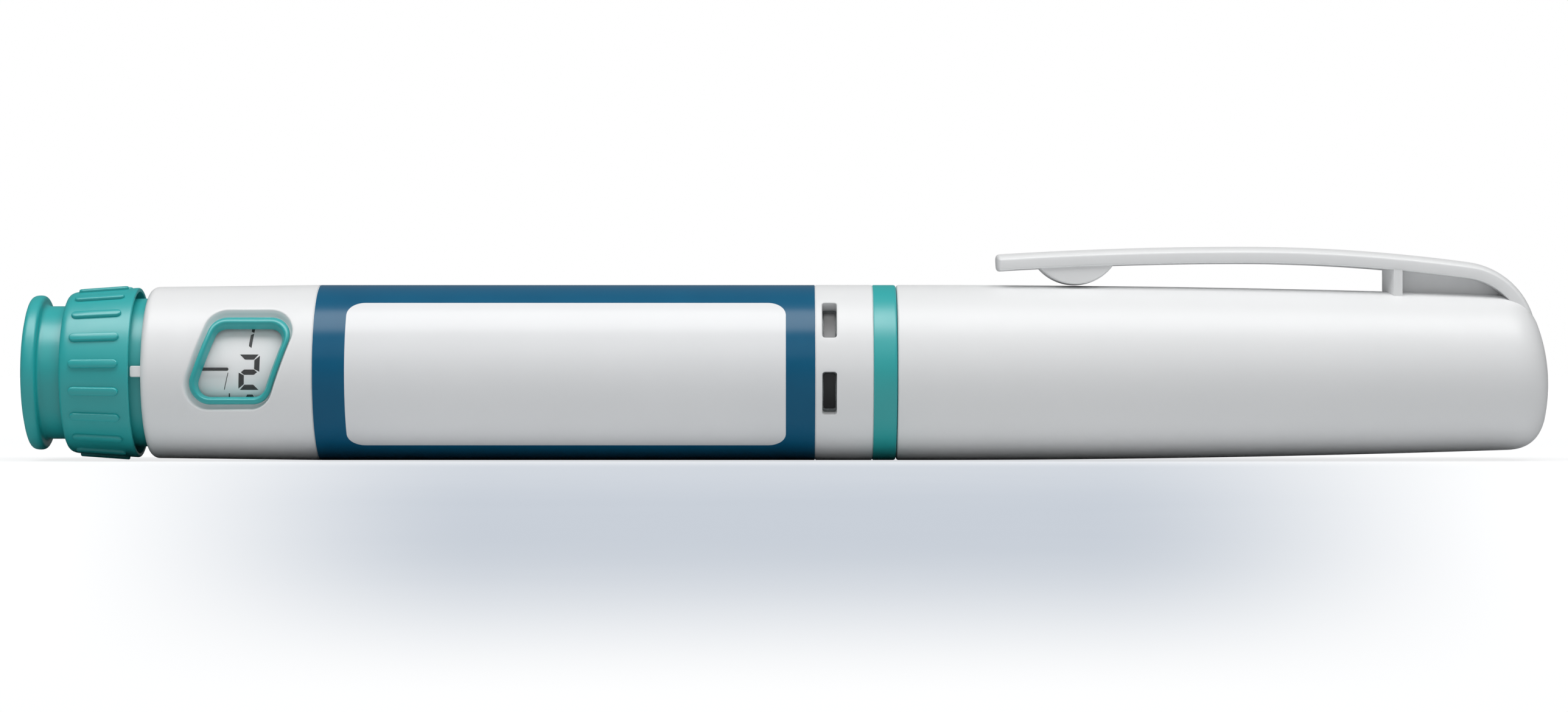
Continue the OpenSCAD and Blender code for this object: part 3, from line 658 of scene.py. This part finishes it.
def slabs(corners, low, high, steps=6):
    """Thin raised slabs on a drum: each lies between four corners given as mm along the pen
    and degrees round it. A slab is a grid of bilinear points between its corners, once at
    the low and once at the high radius, closed along its rim."""
    corners = np.array(corners, float)
    u, v = np.meshgrid(np.linspace(0, 1, 2), np.linspace(0, 1, steps + 1), indexing="ij")
    weights = np.stack([(1 - u) * (1 - v), u * (1 - v), u * v, (1 - u) * v], axis=-1).reshape(-1, 4)
    spots = np.einsum("gk,skc->sgc", weights, corners)
    layers = [round_the_axis(spots[..., 0], spots[..., 1], r) for r in (low, high)]
    points = np.stack(layers, axis=1)
    grid = np.arange(2 * (steps + 1)).reshape(2, steps + 1)
    size = grid.size
    flat = quads_between(grid[0], grid[1], closed=False)
    rim = np.concatenate([grid[0], grid[1][::-1]])
    one = np.concatenate([flat, flat + size, quads_between(rim, rim + size)])
    shift = (np.arange(len(corners)) * 2 * size)[:, None, None]
    return points.reshape(-1, 3), (one[None] + shift).reshape(-1, 4)


line_start, line_end = -59.22, -56.62
line_turn, line_half = 2.75, 1.25
low_turn, high_turn = line_turn - line_half, line_turn + line_half
pointer_spots = [
    [(line_start, low_turn), (line_end, low_turn), (line_end, high_turn), (line_start, high_turn)]
]
tip = np.radians(np.linspace(-90, 90, 7))
tip_x = line_end + 0.14 * np.cos(tip)
tip_t = line_turn + line_half * np.sin(tip)
pointer_spots += [
    [(line_end, tip_t[k]), (tip_x[k], tip_t[k]), (tip_x[k + 1], tip_t[k + 1]), (line_end, tip_t[k + 1])]
    for k in range(6)
]
points, faces = slabs(pointer_spots, 7.56, 7.60)
add_piece("window_pointer", points, faces, black_ink, "body")


# NUMBER DRUM. A white tube that screws in and out with the dial. Its dose numbers
# run round it in a helix, one to each unit, in black print of seven-bar figures.
lead = 5.5
degrees_per_unit = 36.0
units_at_rest = 2
highest_dose = 40
drum = 7.2
sleeve_bore = 6.1
sleeve_start = -70.85
sleeve_end = -15.45

drum_white = Finish("drum_plastic")
drum_plastic = drum_white.surface(
    Base_Color=drum_white.mix(drum_white.noise(150.0), (0.86, 0.865, 0.87), (0.90, 0.905, 0.91)),
    Roughness=drum_white.noise(800.0) * 0.08 + 0.42,
    Normal=drum_white.bump(drum_white.noise(4000.0), 0.0000015),
)
points, faces = turned(rounded_loop(
    [(sleeve_start, sleeve_bore), (sleeve_start, drum), (sleeve_end, drum), (sleeve_end, sleeve_bore)],
    [0, 0, 0.2, 0.2], 3,
))
add_piece("number_drum", points, faces, drum_plastic, "dial", replaces=["number_sleeve"])

BARS = {
    "0": "abcdef", "1": "bc", "2": "abghed", "3": "abghcd", "4": "fghbc",
    "5": "afghcd", "6": "afghedc", "7": "abc", "8": "abcdefgh", "9": "abcdfgh",
}


def bar_corners(bar, wide, high, stroke):
    """Four corners of one bar of a figure, in mm from its middle; the bars keep a slim gap."""
    x, y, s, g = wide / 2, high / 2, stroke, 0.045
    corners = {
        "a": [(-x + g, y), (x - g - 0.1, y), (x - s - g, y - s), (-x + s + g, y - s)],
        "d": [(-x + g + 0.1, -y), (x - g, -y), (x - s - g, -y + s), (-x + s + g, -y + s)],
        "g": [(-x + 0.4 * s, 0), (x - 0.4 * s, 0), (x - s, s / 2), (-x + s, s / 2)],
        "h": [(-x + s, -s / 2), (x - s, -s / 2), (x - 0.4 * s, 0), (-x + 0.4 * s, 0)],
        "b": [(x - s, g + s / 2), (x, g), (x, y - g - 0.08), (x - s, y - s - g)],
        "c": [(x - s, -y + s + g), (x, -y + g + 0.08), (x, -g), (x - s, -g - s / 2)],
        "f": [(-x, g), (-x + s, g + s / 2), (-x + s, y - s - g), (-x, y - g - 0.08)],
        "e": [(-x, -y + g + 0.08), (-x + s, -y + s + g), (-x + s, -g - s / 2), (-x, -g)],
    }
    return corners[bar]


figure_high = 3.62
figure_gap = 0.36
rest_x, rest_turn = -54.455, 0.5
printed_spots = []
degrees_per_mm = math.degrees(1 / drum)
for dose in range(highest_dose + 1):
    figures = str(dose)
    middle_x = rest_x + (dose - units_at_rest) * lead * degrees_per_unit / 360
    middle_turn = rest_turn - (dose - units_at_rest) * degrees_per_unit
    wide = 2.08 if len(figures) == 1 else 1.42
    stroke = 0.54 if len(figures) == 1 else 0.40
    slant = 0.03
    if dose == 1:
        stroke = 0.31
        slant = 0.11
        middle_x -= 0.1
        middle_turn -= 2.8
    for place, figure in enumerate(figures):
        figure_x = middle_x + (place - (len(figures) - 1) / 2) * (wide + figure_gap)
        for bar in BARS[figure]:
            printed_spots.append([
                (figure_x + px + slant * py, middle_turn + py * degrees_per_mm)
                for px, py in bar_corners(bar, wide, figure_high, stroke)
            ])
    if dose > 2:
        printed_spots.append([
            (middle_x - 0.50 + px, middle_turn + (1.95 + py) * degrees_per_mm)
            for px, py in ((-0.46, -0.1), (0.46, -0.1), (0.28, 0.28), (-0.28, 0.28))
        ])
    if dose < 10 and dose % 2 == 0:
        line_x = middle_x - 2.12
        printed_spots.append([
            (line_x - 0.44, middle_turn - 14.2), (line_x - 0.36, middle_turn - 14.2),
            (line_x + 0.04, middle_turn - 0.4), (line_x - 0.04, middle_turn - 0.4),
        ])
        half_x = middle_x - 2.03
        printed_spots.append([
            (half_x - 0.10, middle_turn - 23.0), (half_x + 0.09, middle_turn - 23.0),
            (half_x + 0.06, middle_turn - 17.2), (half_x - 0.05, middle_turn - 17.2),
        ])
points, faces = slabs(printed_spots, drum - 0.02, drum + 0.008)
add_piece("dose_numbers", points, faces, black_ink, "dial")


# DOSE SELECTOR. The teal ring that the thumb and finger turn, with 19 moulded grip
# ribs. A narrower skirt joins it to the number drum and shows in the gap.
selector_start = -73.65
selector_l = 7.15
selector_end = selector_start + selector_l
rear_radius = 8.23
front_radius = 8.73
hollow_start, hollow = selector_start + 6.0, 8.3
skirt_end, skirt, skirt_bore = selector_end + 2.2, 7.6, 7.22
step_x, neck_bore = selector_start + 2.8, 6.95
points, faces = turned(rounded_loop(
    [
        (selector_start, neck_bore), (selector_start, rear_radius), (selector_end, front_radius),
        (selector_end, hollow), (hollow_start, hollow), (hollow_start, skirt), (skirt_end, skirt),
        (skirt_end, skirt_bore), (step_x, skirt_bore), (step_x, neck_bore),
    ],
    [0.15, 1.1, 0.28, 0.08, 0.0, 0.0, 0.15, 0, 0, 0], 7,
))
add_piece("selector_ring", points, faces, teal_plastic, "dial", replaces=["dose_selector"])

rib_count = 19
rib_half, rib_tip, rib_side = 2.03, 0.52, 0.43
half_turn = np.radians(np.linspace(0, 180, 13))
rib_outline = np.concatenate([
    np.stack([side * (rib_half + rib_tip * np.sin(half_turn)), -side * rib_side * np.cos(half_turn)], axis=-1)
    for side in (1, -1)
])
rib_end = np.sign(rib_outline[:, 0]) * rib_half
rib_levels = [
    (0.0, -0.5), (1.0, -0.5), (1.0, 0.10), (0.96, 0.19), (0.86, 0.26), (0.70, 0.295), (0.0, 0.30)
]
slope = (front_radius - rear_radius) / selector_l
ribs = []
for turn in 6.3 + np.arange(rib_count) * 360 / rib_count:
    rows = []
    for share, height in rib_levels:
        p = rib_end * min(1.0, share * 4) + (rib_outline[:, 0] - rib_end) * share
        x = selector_start + selector_l / 2 + p
        radius = rear_radius + slope * (x - selector_start) + height
        rows.append(over_a_spot(x, turn, 0, rib_outline[:, 1] * share, radius))
    ribs.append(joined(rows))
points, faces = together(ribs)
add_piece("selector_ribs", points, faces, teal_plastic, "dial", sharp=60)


# BUTTON. One teal moulding: a wide thumb plate with a slight dome, a fillet, and a
# neck that runs into the selector to press on the clutch.
button_start = -77.95
flange_end, neck_r = button_start + 1.90, 6.82
dome_r = np.linspace(0, 6.9, 8)
dome = np.stack([button_start + 0.34 * (dome_r / 7.4) ** 2, dome_r], axis=-1)
rim = rounded_loop(
    [(button_start + 0.36, 7.1), (button_start + 0.55, 7.93), (flange_end, 7.93), (flange_end, neck_r)],
    [0.35, 0.72, 0.62, 0.0], 7,
)
fillet = rounded_loop([(flange_end, 7.6), (flange_end, neck_r), (button_start + 2.8, neck_r)], [0, 0.6, 0], 6)
neck = [(-72.65, neck_r), (-72.65, 5.9), (-68.51, 5.9), (-68.51, 4.8), (-71.51, 4.8), (-71.51, 0.0)]
points, faces = turned(np.concatenate([dome, rim[:-1], fillet[1:], neck]))
add_piece(
    "thumb_button", points, faces, teal_plastic, "button", replaces=["injection_button"]
)


# CAP. A white pull-off cap over the cartridge holder. It narrows slightly, and a
# shallow dome that sits a little low closes it, with a soft edge all round.
cap_start = 11.15
cap_end = 77.95
dome_radius = 17.7
dome_drop = 1.2
mouth_round = 0.25


def cap_radius(x):
    """Outer radius of the cap: straight at its mouth, then a parabola."""
    return body_r - np.clip(x - cap_start - 1.5, 0, None) ** 2 / 3600


def dome_x(radius, turn):
    """Where the dome's sphere, whose middle is below the axis, lies at that radius and turn."""
    a = np.radians(turn)
    flat = dome_radius ** 2 - (dome_drop * np.cos(a)) ** 2 - (radius + dome_drop * np.sin(a)) ** 2
    return cap_end - dome_radius + np.sqrt(flat)


def cap_shell():
    """Closed cap on a grid of rows along its outline and columns round it.

    Rows run from the dome's middle out over it, through a quadratic curve at its edge, along
    the barrel to the rounded mouth, and back inside to the closed end."""
    turns = np.linspace(0, 360, 193)[:-1]
    edge_r = np.full(len(turns), 7.8)
    for _ in range(6):
        edge_x = dome_x(edge_r, turns)
        edge_r = cap_radius(edge_x)
    start_r = edge_r - 2.2
    start_x = dome_x(start_r, turns)
    barrel_x = edge_x - 2.6
    rows = [(dome_x(f * start_r, turns), f * start_r) for f in np.linspace(0, 1, 14)[:-1]]
    for f in np.linspace(0, 1, 15):
        x = (1 - f) ** 2 * start_x + 2 * f * (1 - f) * edge_x + f ** 2 * barrel_x
        r = (1 - f) ** 2 * start_r + 2 * f * (1 - f) * edge_r + f ** 2 * cap_radius(barrel_x)
        rows.append((x, r))
    mouth_x = cap_start + mouth_round
    for f in np.linspace(0, 1, 40)[1:]:
        x = barrel_x + f * (mouth_x - barrel_x)
        rows.append((x, cap_radius(x)))
    for a in np.radians(np.linspace(15, 90, 6)):
        lip_r = body_r - mouth_round + mouth_round * np.cos(a)
        rows.append((mouth_x - mouth_round * np.sin(a) + 0 * turns, lip_r + 0 * turns))
    inside = (
        (cap_start, 8.1), (cap_start + 0.27, 7.83), (50.0, 7.1), (68.0, 6.75), (75.95, 5.0), (75.95, 0.0)
    )
    for x, r in inside:
        rows.append((x + 0 * turns, min(r, 7.83, float(cap_radius(x)) - 0.9) + 0 * turns))
    return joined([round_the_axis(x, turns, r) for x, r in rows])


points, faces = cap_shell()
add_piece("pull_off_cap", points, faces, white_plastic, "cap", replaces=["cap_shell"])


# POCKET CLIP. It is moulded in one with the cap: a crowned springy arm with a round
# foot near its tip, and a root that curves down into the dome over two side pockets.
crest_x, crest_z = 46.7, 21.93
clip_tip, clip_nose = 21.4, 70.0
clip_w, clip_t, clip_crown = 5.7, 1.72, 0.5
tip_arc, root_arc, nose_r = 400.0, 172.0, 8.0
nose_turn = math.asin((clip_nose - crest_x) / root_arc)
nose_x = clip_nose - nose_r * math.sin(nose_turn)
nose_z = crest_z - root_arc * (1 - math.cos(nose_turn)) - nose_r * math.cos(nose_turn)


def clip_top(x):
    """Height of the clip's crest line: two long arcs that meet at its highest point."""
    r = np.where(x < crest_x, tip_arc, root_arc)
    return crest_z - r + np.sqrt(r ** 2 - (x - crest_x) ** 2)


def clip_section():
    """Outline of the clip across the pen: flat below, crowned above, with rounded edges."""
    half = clip_w / 2
    y = np.linspace(-half + 0.35, half - 0.35, 15)
    top = np.stack([y, -clip_crown * (y / half) ** 2], axis=-1)
    shoulder = np.radians(np.linspace(75, 0, 5))
    shoulder_z = -clip_crown - 0.26 + 0.30 * np.sin(shoulder)
    right = np.stack([half - 0.30 + 0.30 * np.cos(shoulder), shoulder_z], axis=-1)
    foot = np.radians(np.linspace(0, -90, 5))
    low = np.stack([half - 0.2 + 0.2 * np.cos(foot), -clip_t + 0.2 + 0.2 * np.sin(foot)], axis=-1)
    left, low_left = right[::-1] * (-1, 1), low[::-1] * (-1, 1)
    return np.concatenate([top, right, low, low_left, left])


def clip_bar():
    """The section carried along the crest line and round the nose, square to it, with a rounded tip."""
    before = np.linspace(clip_tip + tip_round, crest_x, 26)
    arm = np.concatenate([before, np.linspace(crest_x, clip_nose, 26)[1:]])
    arm_lean = np.arcsin((arm - crest_x) / np.where(arm < crest_x, tip_arc, root_arc))
    nose = np.linspace(nose_turn, math.radians(80), 18)[1:]
    x = np.concatenate([arm, nose_x + nose_r * np.sin(nose)])
    z = np.concatenate([clip_top(arm), nose_z + nose_r * np.cos(nose)])
    lean = np.concatenate([arm_lean, nose])
    section = clip_section()
    middle = section.mean(axis=0)
    rows = [(x[0] - tip_round, z[0], lean[0], middle + 0 * section)]
    for a in np.linspace(0, 1, 6)[:-1] * math.pi / 2:
        share = 1 - tip_round * (1 - math.sin(a)) / (clip_t / 2)
        rows.append((x[0] - tip_round * math.cos(a), z[0], lean[0], middle + (section - middle) * share))
    rows.append((x[0] - tip_round * math.cos(math.pi / 2), z[0], lean[0], section))
    rows += [(x[k], z[k], lean[k], section) for k in range(1, len(x))]
    rows.append((x[-1], z[-1], lean[-1], middle + 0 * section))
    return joined([
        np.stack([px + at[:, 1] * math.sin(a), at[:, 0], pz + at[:, 1] * math.cos(a)], axis=-1)
        for px, pz, a, at in rows
    ])


tip_round = 0.4
points, faces = clip_bar()
clip = add_piece("pocket_clip", points, faces, white_plastic, None, replaces=["cap_clip"])
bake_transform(clip)


def round_foot():
    """Ball foot: a grid whose low side is a sphere and whose high side is inside the arm."""
    x, y = np.meshgrid(np.linspace(25.2, 33.8, 45), np.linspace(-2.6, 2.6, 27), indexing="ij")
    high = clip_top(x) - clip_t + 0.25
    middle_z = AXIS + float(cap_radius(foot_x)) + 0.05 + foot_r
    ball = middle_z - np.sqrt(np.clip(foot_r ** 2 - (x - foot_x) ** 2 - (0.35 * y) ** 2, 0.01, None))
    edge = np.clip((np.abs(y) - 2.3) / 0.3, 0, 1)
    low = np.minimum(ball + 0.12 * edge ** 2, high)
    points = np.concatenate([np.stack([x, y, z], axis=-1).reshape(-1, 3) for z in (low, high)])
    number = np.arange(x.size).reshape(x.shape)
    rim = np.concatenate([number[0], number[1:, -1], number[-1, -2::-1], number[-2:0:-1, 0]])
    strips = [quads_between(number[k - 1], number[k], closed=False) for k in range(1, len(number))]
    grid = np.concatenate(strips)
    return points, np.concatenate([grid, grid + x.size, quads_between(rim, rim + x.size)])


foot_x, foot_r = 29.5, 4.8
points, faces = round_foot()
add_piece("clip_foot", points, faces, white_plastic, "clip")


def prism(outline, half_width):
    """Closed prism: an outline in x and z, once at each side of the pen's middle plane."""
    count = len(outline)
    sides = [np.insert(outline, 1, y, axis=1) for y in (-half_width, half_width)]
    k = np.arange(1, count - 1)
    fan = np.stack([0 * k, k, k + 1, k + 1], axis=-1)
    walls = quads_between(np.arange(count), count + np.arange(count))
    return np.concatenate(sides), np.concatenate([walls, fan, fan + count])


web_start, web_bottom = 61.6, 15.6
web_x = np.linspace(web_start, 74.5, 20)
over_nose = nose_z + np.sqrt(np.clip(nose_r ** 2 - (web_x - nose_x) ** 2, 1, None))
crest = np.where(web_x < clip_nose, clip_top(np.minimum(web_x, clip_nose)), over_nose)
web_top = np.stack([web_x, crest - clip_t / 2], axis=-1)
web = np.concatenate([web_top, [(75.3, 17.0), (75.3, web_bottom), (web_start, web_bottom)]])
points, faces = prism(web, 0.55)
add_piece("clip_web", points, faces, white_plastic, "cap")

wall_half, wall_back = 2.80, 62.85
side = np.linspace(-1, 1, 15)
wall_front = np.stack([61.95 - 0.80 * (1 - np.abs(side)) ** 0.9, wall_half * side], axis=-1)
wall = np.concatenate([wall_front, [(wall_back, wall_half), (wall_back, -wall_half)]])
low, high = [np.insert(wall, 2, z, axis=1) for z in (15.8, 20.3)]
points, faces = joined([low.mean(axis=0) + 0 * low, low, high, high.mean(axis=0) + 0 * high])
add_piece("clip_wall", points, faces, white_plastic, "cap")


# CARTRIDGE HOLDER. A clear tube that snaps into the housing with four tabs; its tip
# carries the thread for a pen needle. The glass cartridge stands inside.
holder_clear = Finish("clear_holder_plastic")
clear_holder = holder_clear.surface(
    Base_Color=holder_clear.mix(holder_clear.noise(150.0), (0.80, 0.87, 0.89), (0.86, 0.91, 0.93)),
    Roughness=holder_clear.noise(500.0) * 0.05 + 0.10,
    IOR=1.49,
    Alpha=holder_clear.noise(90.0) * 0.06 + 0.24,
    Coat_Weight=0.5,
    Coat_Roughness=0.05,
)


def cosine_thread(major, start, end, pitch, starts, depth):
    """Thread for a turned piece: where the radius is the major one, between start and end, it
    dips by a cosine that winds once per pitch, in so many starts."""
    def thread(x, turn, radius):
        dip = 0.5 - 0.5 * np.cos(2 * np.pi * (x / pitch + starts * turn / 360))
        fade = np.clip((x - start) / 0.4, 0, 1) * np.clip((end - x) / 0.4, 0, 1)
        return depth * dip ** 0.7 * fade * (radius == major)
    return thread


seat_r = 4.65
seat = [(x, seat_r) for x in np.linspace(60.42, 67.75, 74)]
holder = [
    (1.28, 5.92), (1.28, 7.73), (15.6, 7.73), (15.85, 7.6), (16.1, 6.9), (57.0, 6.9), (57.38, 6.8),
    *seat, (67.92, 4.5), (67.92, 1.95), (67.62, 1.95), (67.62, 3.9), (60.42, 3.9), (57.4, 5.92),
]
points, faces = turned(holder, 128, cosine_thread(seat_r, 60.7, 67.6, 1.0, 1, 0.32))
add_piece("clear_holder", points, faces, clear_holder, "body", replaces=["cartridge_holder"])

tab_outline = rounded_loop([(-0.62, -1.85), (0.62, -1.85), (0.62, 1.85), (-0.62, 1.85)], [0.3, 0.3, 0.3, 0.3])
tab_levels = [(0.0, 7.4), (1.0, 7.4), (1.0, 7.80), (0.93, 7.90), (0.0, 7.92)]
points, faces = together([plug_over_spot(tab_outline, tab_levels, slot_middle, turn) for turn in slot_turns])
# Painted shade: the tabs are coloured near black to stand for the shade inside the slots. A painted lit band
# low on the upper front tab fades to black at its top, and the lower front tab is painted darker towards its
# bottom.
slot_shade_paint = Finish("shaded_holder_tabs")
tab_height = slot_shade_paint.node("ShaderNodeSeparateXYZ", {}, {0: slot_shade_paint.place()}).other("Z")
lit_foot = (1 - tab_height.between(0.0120, 0.0144)) * tab_height.between(0.0105, 0.0115)
deep_shade = tab_height.between(0.0045, 0.0085) * 0.16
painted_slot_shade = slot_shade_paint.surface(
    Base_Color=slot_shade_paint.mix(
        lit_foot + deep_shade + slot_shade_paint.noise(600.0) * 0.03, (0.005, 0.005, 0.0055), (0.20, 0.203, 0.206)
    ),
    Roughness=slot_shade_paint.noise(900.0) * 0.1 + 0.30,
)
add_piece("holder_tabs", points, faces, painted_slot_shade, "body")

glass_clear = Finish("cartridge_glass")
glass = glass_clear.surface(
    Base_Color=glass_clear.mix(glass_clear.noise(60.0), (0.85, 0.92, 0.93), (0.90, 0.95, 0.955)),
    Roughness=glass_clear.noise(300.0) * 0.02 + 0.03,
    IOR=1.50,
    Alpha=glass_clear.noise(60.0) * 0.03 + 0.14,
    Coat_Weight=0.8,
    Coat_Roughness=0.02,
)


def shoulder(x, radius):
    """The bottle narrows to its neck by half a cosine that is 3 mm long."""
    return x, radius + 1.485 * (1 + math.cos(math.pi * (x - 57.28) / 3.0))


neck_bore = 1.86
shoulder_x = np.linspace(57.28, 60.28, 9)
bottle = [
    (3.28, 4.83), (3.28, 5.7), (3.38, 5.8), *[shoulder(x, 2.83) for x in shoulder_x],
    (63.8, 2.83), (63.9, 3.3), (66.28, 3.3), (66.28, neck_bore),
    *[shoulder(x, neck_bore) for x in shoulder_x[::-1]],
]
points, faces = turned(bottle, 96)
add_piece("glass_cartridge", points, faces, glass, "body", replaces=["cartridge_glass"])

crimped = Finish("crimped_aluminium")
spun = crimped.noise(900.0, 3.0, (6.0, 1.0, 1.0))
aluminium = crimped.surface(
    Base_Color=crimped.mix(spun, (0.66, 0.67, 0.69), (0.78, 0.79, 0.81)),
    Metallic=1.0,
    Roughness=spun * 0.15 + 0.25,
    Normal=crimped.bump(spun, 0.000004),
)
points, faces = turned(rounded_loop(
    [(61.92, 3.36), (61.92, 3.75), (62.4, 3.8), (67.57, 3.8), (67.57, 1.9), (67.52, 1.9), (67.52, 3.36)],
    [0, 0.1, 0, 0.25, 0, 0, 0], 4,
), 96)
add_piece("aluminium_crimp", points, faces, aluminium, "body", replaces=["crimp_cap"])

soft = Finish("dark_rubber")
rubber = soft.surface(
    Base_Color=soft.mix(soft.noise(300.0, 3.0), (0.055, 0.056, 0.060), (0.085, 0.086, 0.090)),
    Roughness=soft.noise(900.0) * 0.1 + 0.62,
    Normal=soft.bump(soft.noise(2500.0, 3.0), 0.000006),
)
disc = [(66.30, 0.0), (66.30, 3.3), (66.34, 3.325), (67.46, 3.325), (67.50, 3.3), (67.50, 0.0)]
points, faces = turned(disc, 96)
add_piece("rubber_seal", points, faces, rubber, "body", replaces=["septum"])


# PLUNGER AND PISTON ROD. A dark rubber stopper with three sealing ribs, pushed by a
# turning foot on the four-start lead screw that the dose drives forwards.
ribbed = [(6.23, 0.0), (6.23, 4.3)]
for k in range(3):
    a = np.linspace(0, math.pi, 9)
    ribbed += [(6.33 + 3.55 * k + 0.9 - 0.9 * math.cos(v), 4.55 + 0.24 * math.sin(v)) for v in a]
ribbed += [(15.1, 4.4), (15.23, 4.1), (15.23, 0.0)]
points, faces = turned(ribbed, 96)
add_piece("rubber_plunger", points, faces, rubber, "piston", replaces=["plunger"])

inside_white = Finish("inside_plastic")
inside_plastic = inside_white.surface(
    Base_Color=inside_white.mix(inside_white.noise(200.0), (0.62, 0.64, 0.65), (0.68, 0.70, 0.71)),
    Roughness=inside_white.noise(900.0) * 0.1 + 0.45,
    Normal=inside_white.bump(inside_white.noise(3000.0), 0.000003),
)
rod_r = 2.9
rod_line = [
    (-58.32, 0.0), (-58.32, 2.7), (-58.1, rod_r), *[(x, rod_r) for x in np.linspace(-58.0, 3.9, 250)],
    (4.0, rod_r), (4.18, 2.7), (4.18, 0.0),
]
points, faces = turned(rod_line, 64, cosine_thread(rod_r, -57.8, 3.4, 3.0, 4, 0.42))
add_piece("lead_screw", points, faces, inside_plastic, "rod", replaces=["piston_rod"])
foot_line = rounded_loop([(4.23, 0.0), (4.23, 4.2), (6.2, 4.2), (6.2, 0.0)], [0, 0.3, 0.2, 0], 4)
points, faces = turned(foot_line, 96)
add_piece("thrust_foot", points, faces, inside_plastic, "piston", replaces=["rod_foot"])


# DRIVE, CLUTCH AND SPRING. Moulded parts inside the pen that keep their CAD shape,
# and a coil of drawn wire that is squashed between the drive sleeve and the button.
def dress(node, material):
    """Gives a CAD node its finish."""
    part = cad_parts[node]
    if not part.material_slots:
        part.data.materials.append(material)
    for place in part.material_slots:
        place.material = material


for node in ("thread_insert", "rod_nut", "ratchet_ring", "drive_sleeve", "last_dose_nut"):
    dress(node, inside_plastic)

amber = Finish("clutch_plastic")
dress("clutch_ring", amber.surface(
    Base_Color=amber.mix(amber.noise(300.0), (0.72, 0.40, 0.07), (0.80, 0.46, 0.09)),
    Roughness=amber.noise(900.0) * 0.1 + 0.4,
))
wire = Finish("spring_wire")
drawn = wire.noise(1500.0, 2.0, (1.0, 4.0, 4.0))
spring_steel = wire.surface(
    Base_Color=wire.mix(drawn, (0.50, 0.51, 0.53), (0.62, 0.63, 0.65)),
    Metallic=1.0,
    Roughness=drawn * 0.15 + 0.22,
)


def coil(start, end, radius, wire_radius, turns):
    """Round wire wound along a helix: x rises evenly with the turn, and a circle is swept round it."""
    a = np.linspace(0, 2 * np.pi * turns, int(40 * turns) + 1)[:, None]
    b = np.linspace(0, 2 * np.pi, 11)[:-1][None, :]
    out = radius + wire_radius * np.cos(b)
    x = start + (end - start) * a / a[-1] + wire_radius * np.sin(b)
    points = np.stack(np.broadcast_arrays(x, out * np.sin(a), AXIS + out * np.cos(a)), axis=-1)
    first, last = points[:1].mean(axis=1, keepdims=True), points[-1:].mean(axis=1, keepdims=True)
    points = np.concatenate([first + 0 * points[:1], points, points[-1:], last + 0 * points[:1]])
    return joined(points)


points, faces = coil(-71.20, -67.32, 3.7, 0.25, 3.5)
spring = add_piece(
    "return_spring", points, faces, spring_steel, None, replaces=["button_spring"]
)
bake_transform(spring)
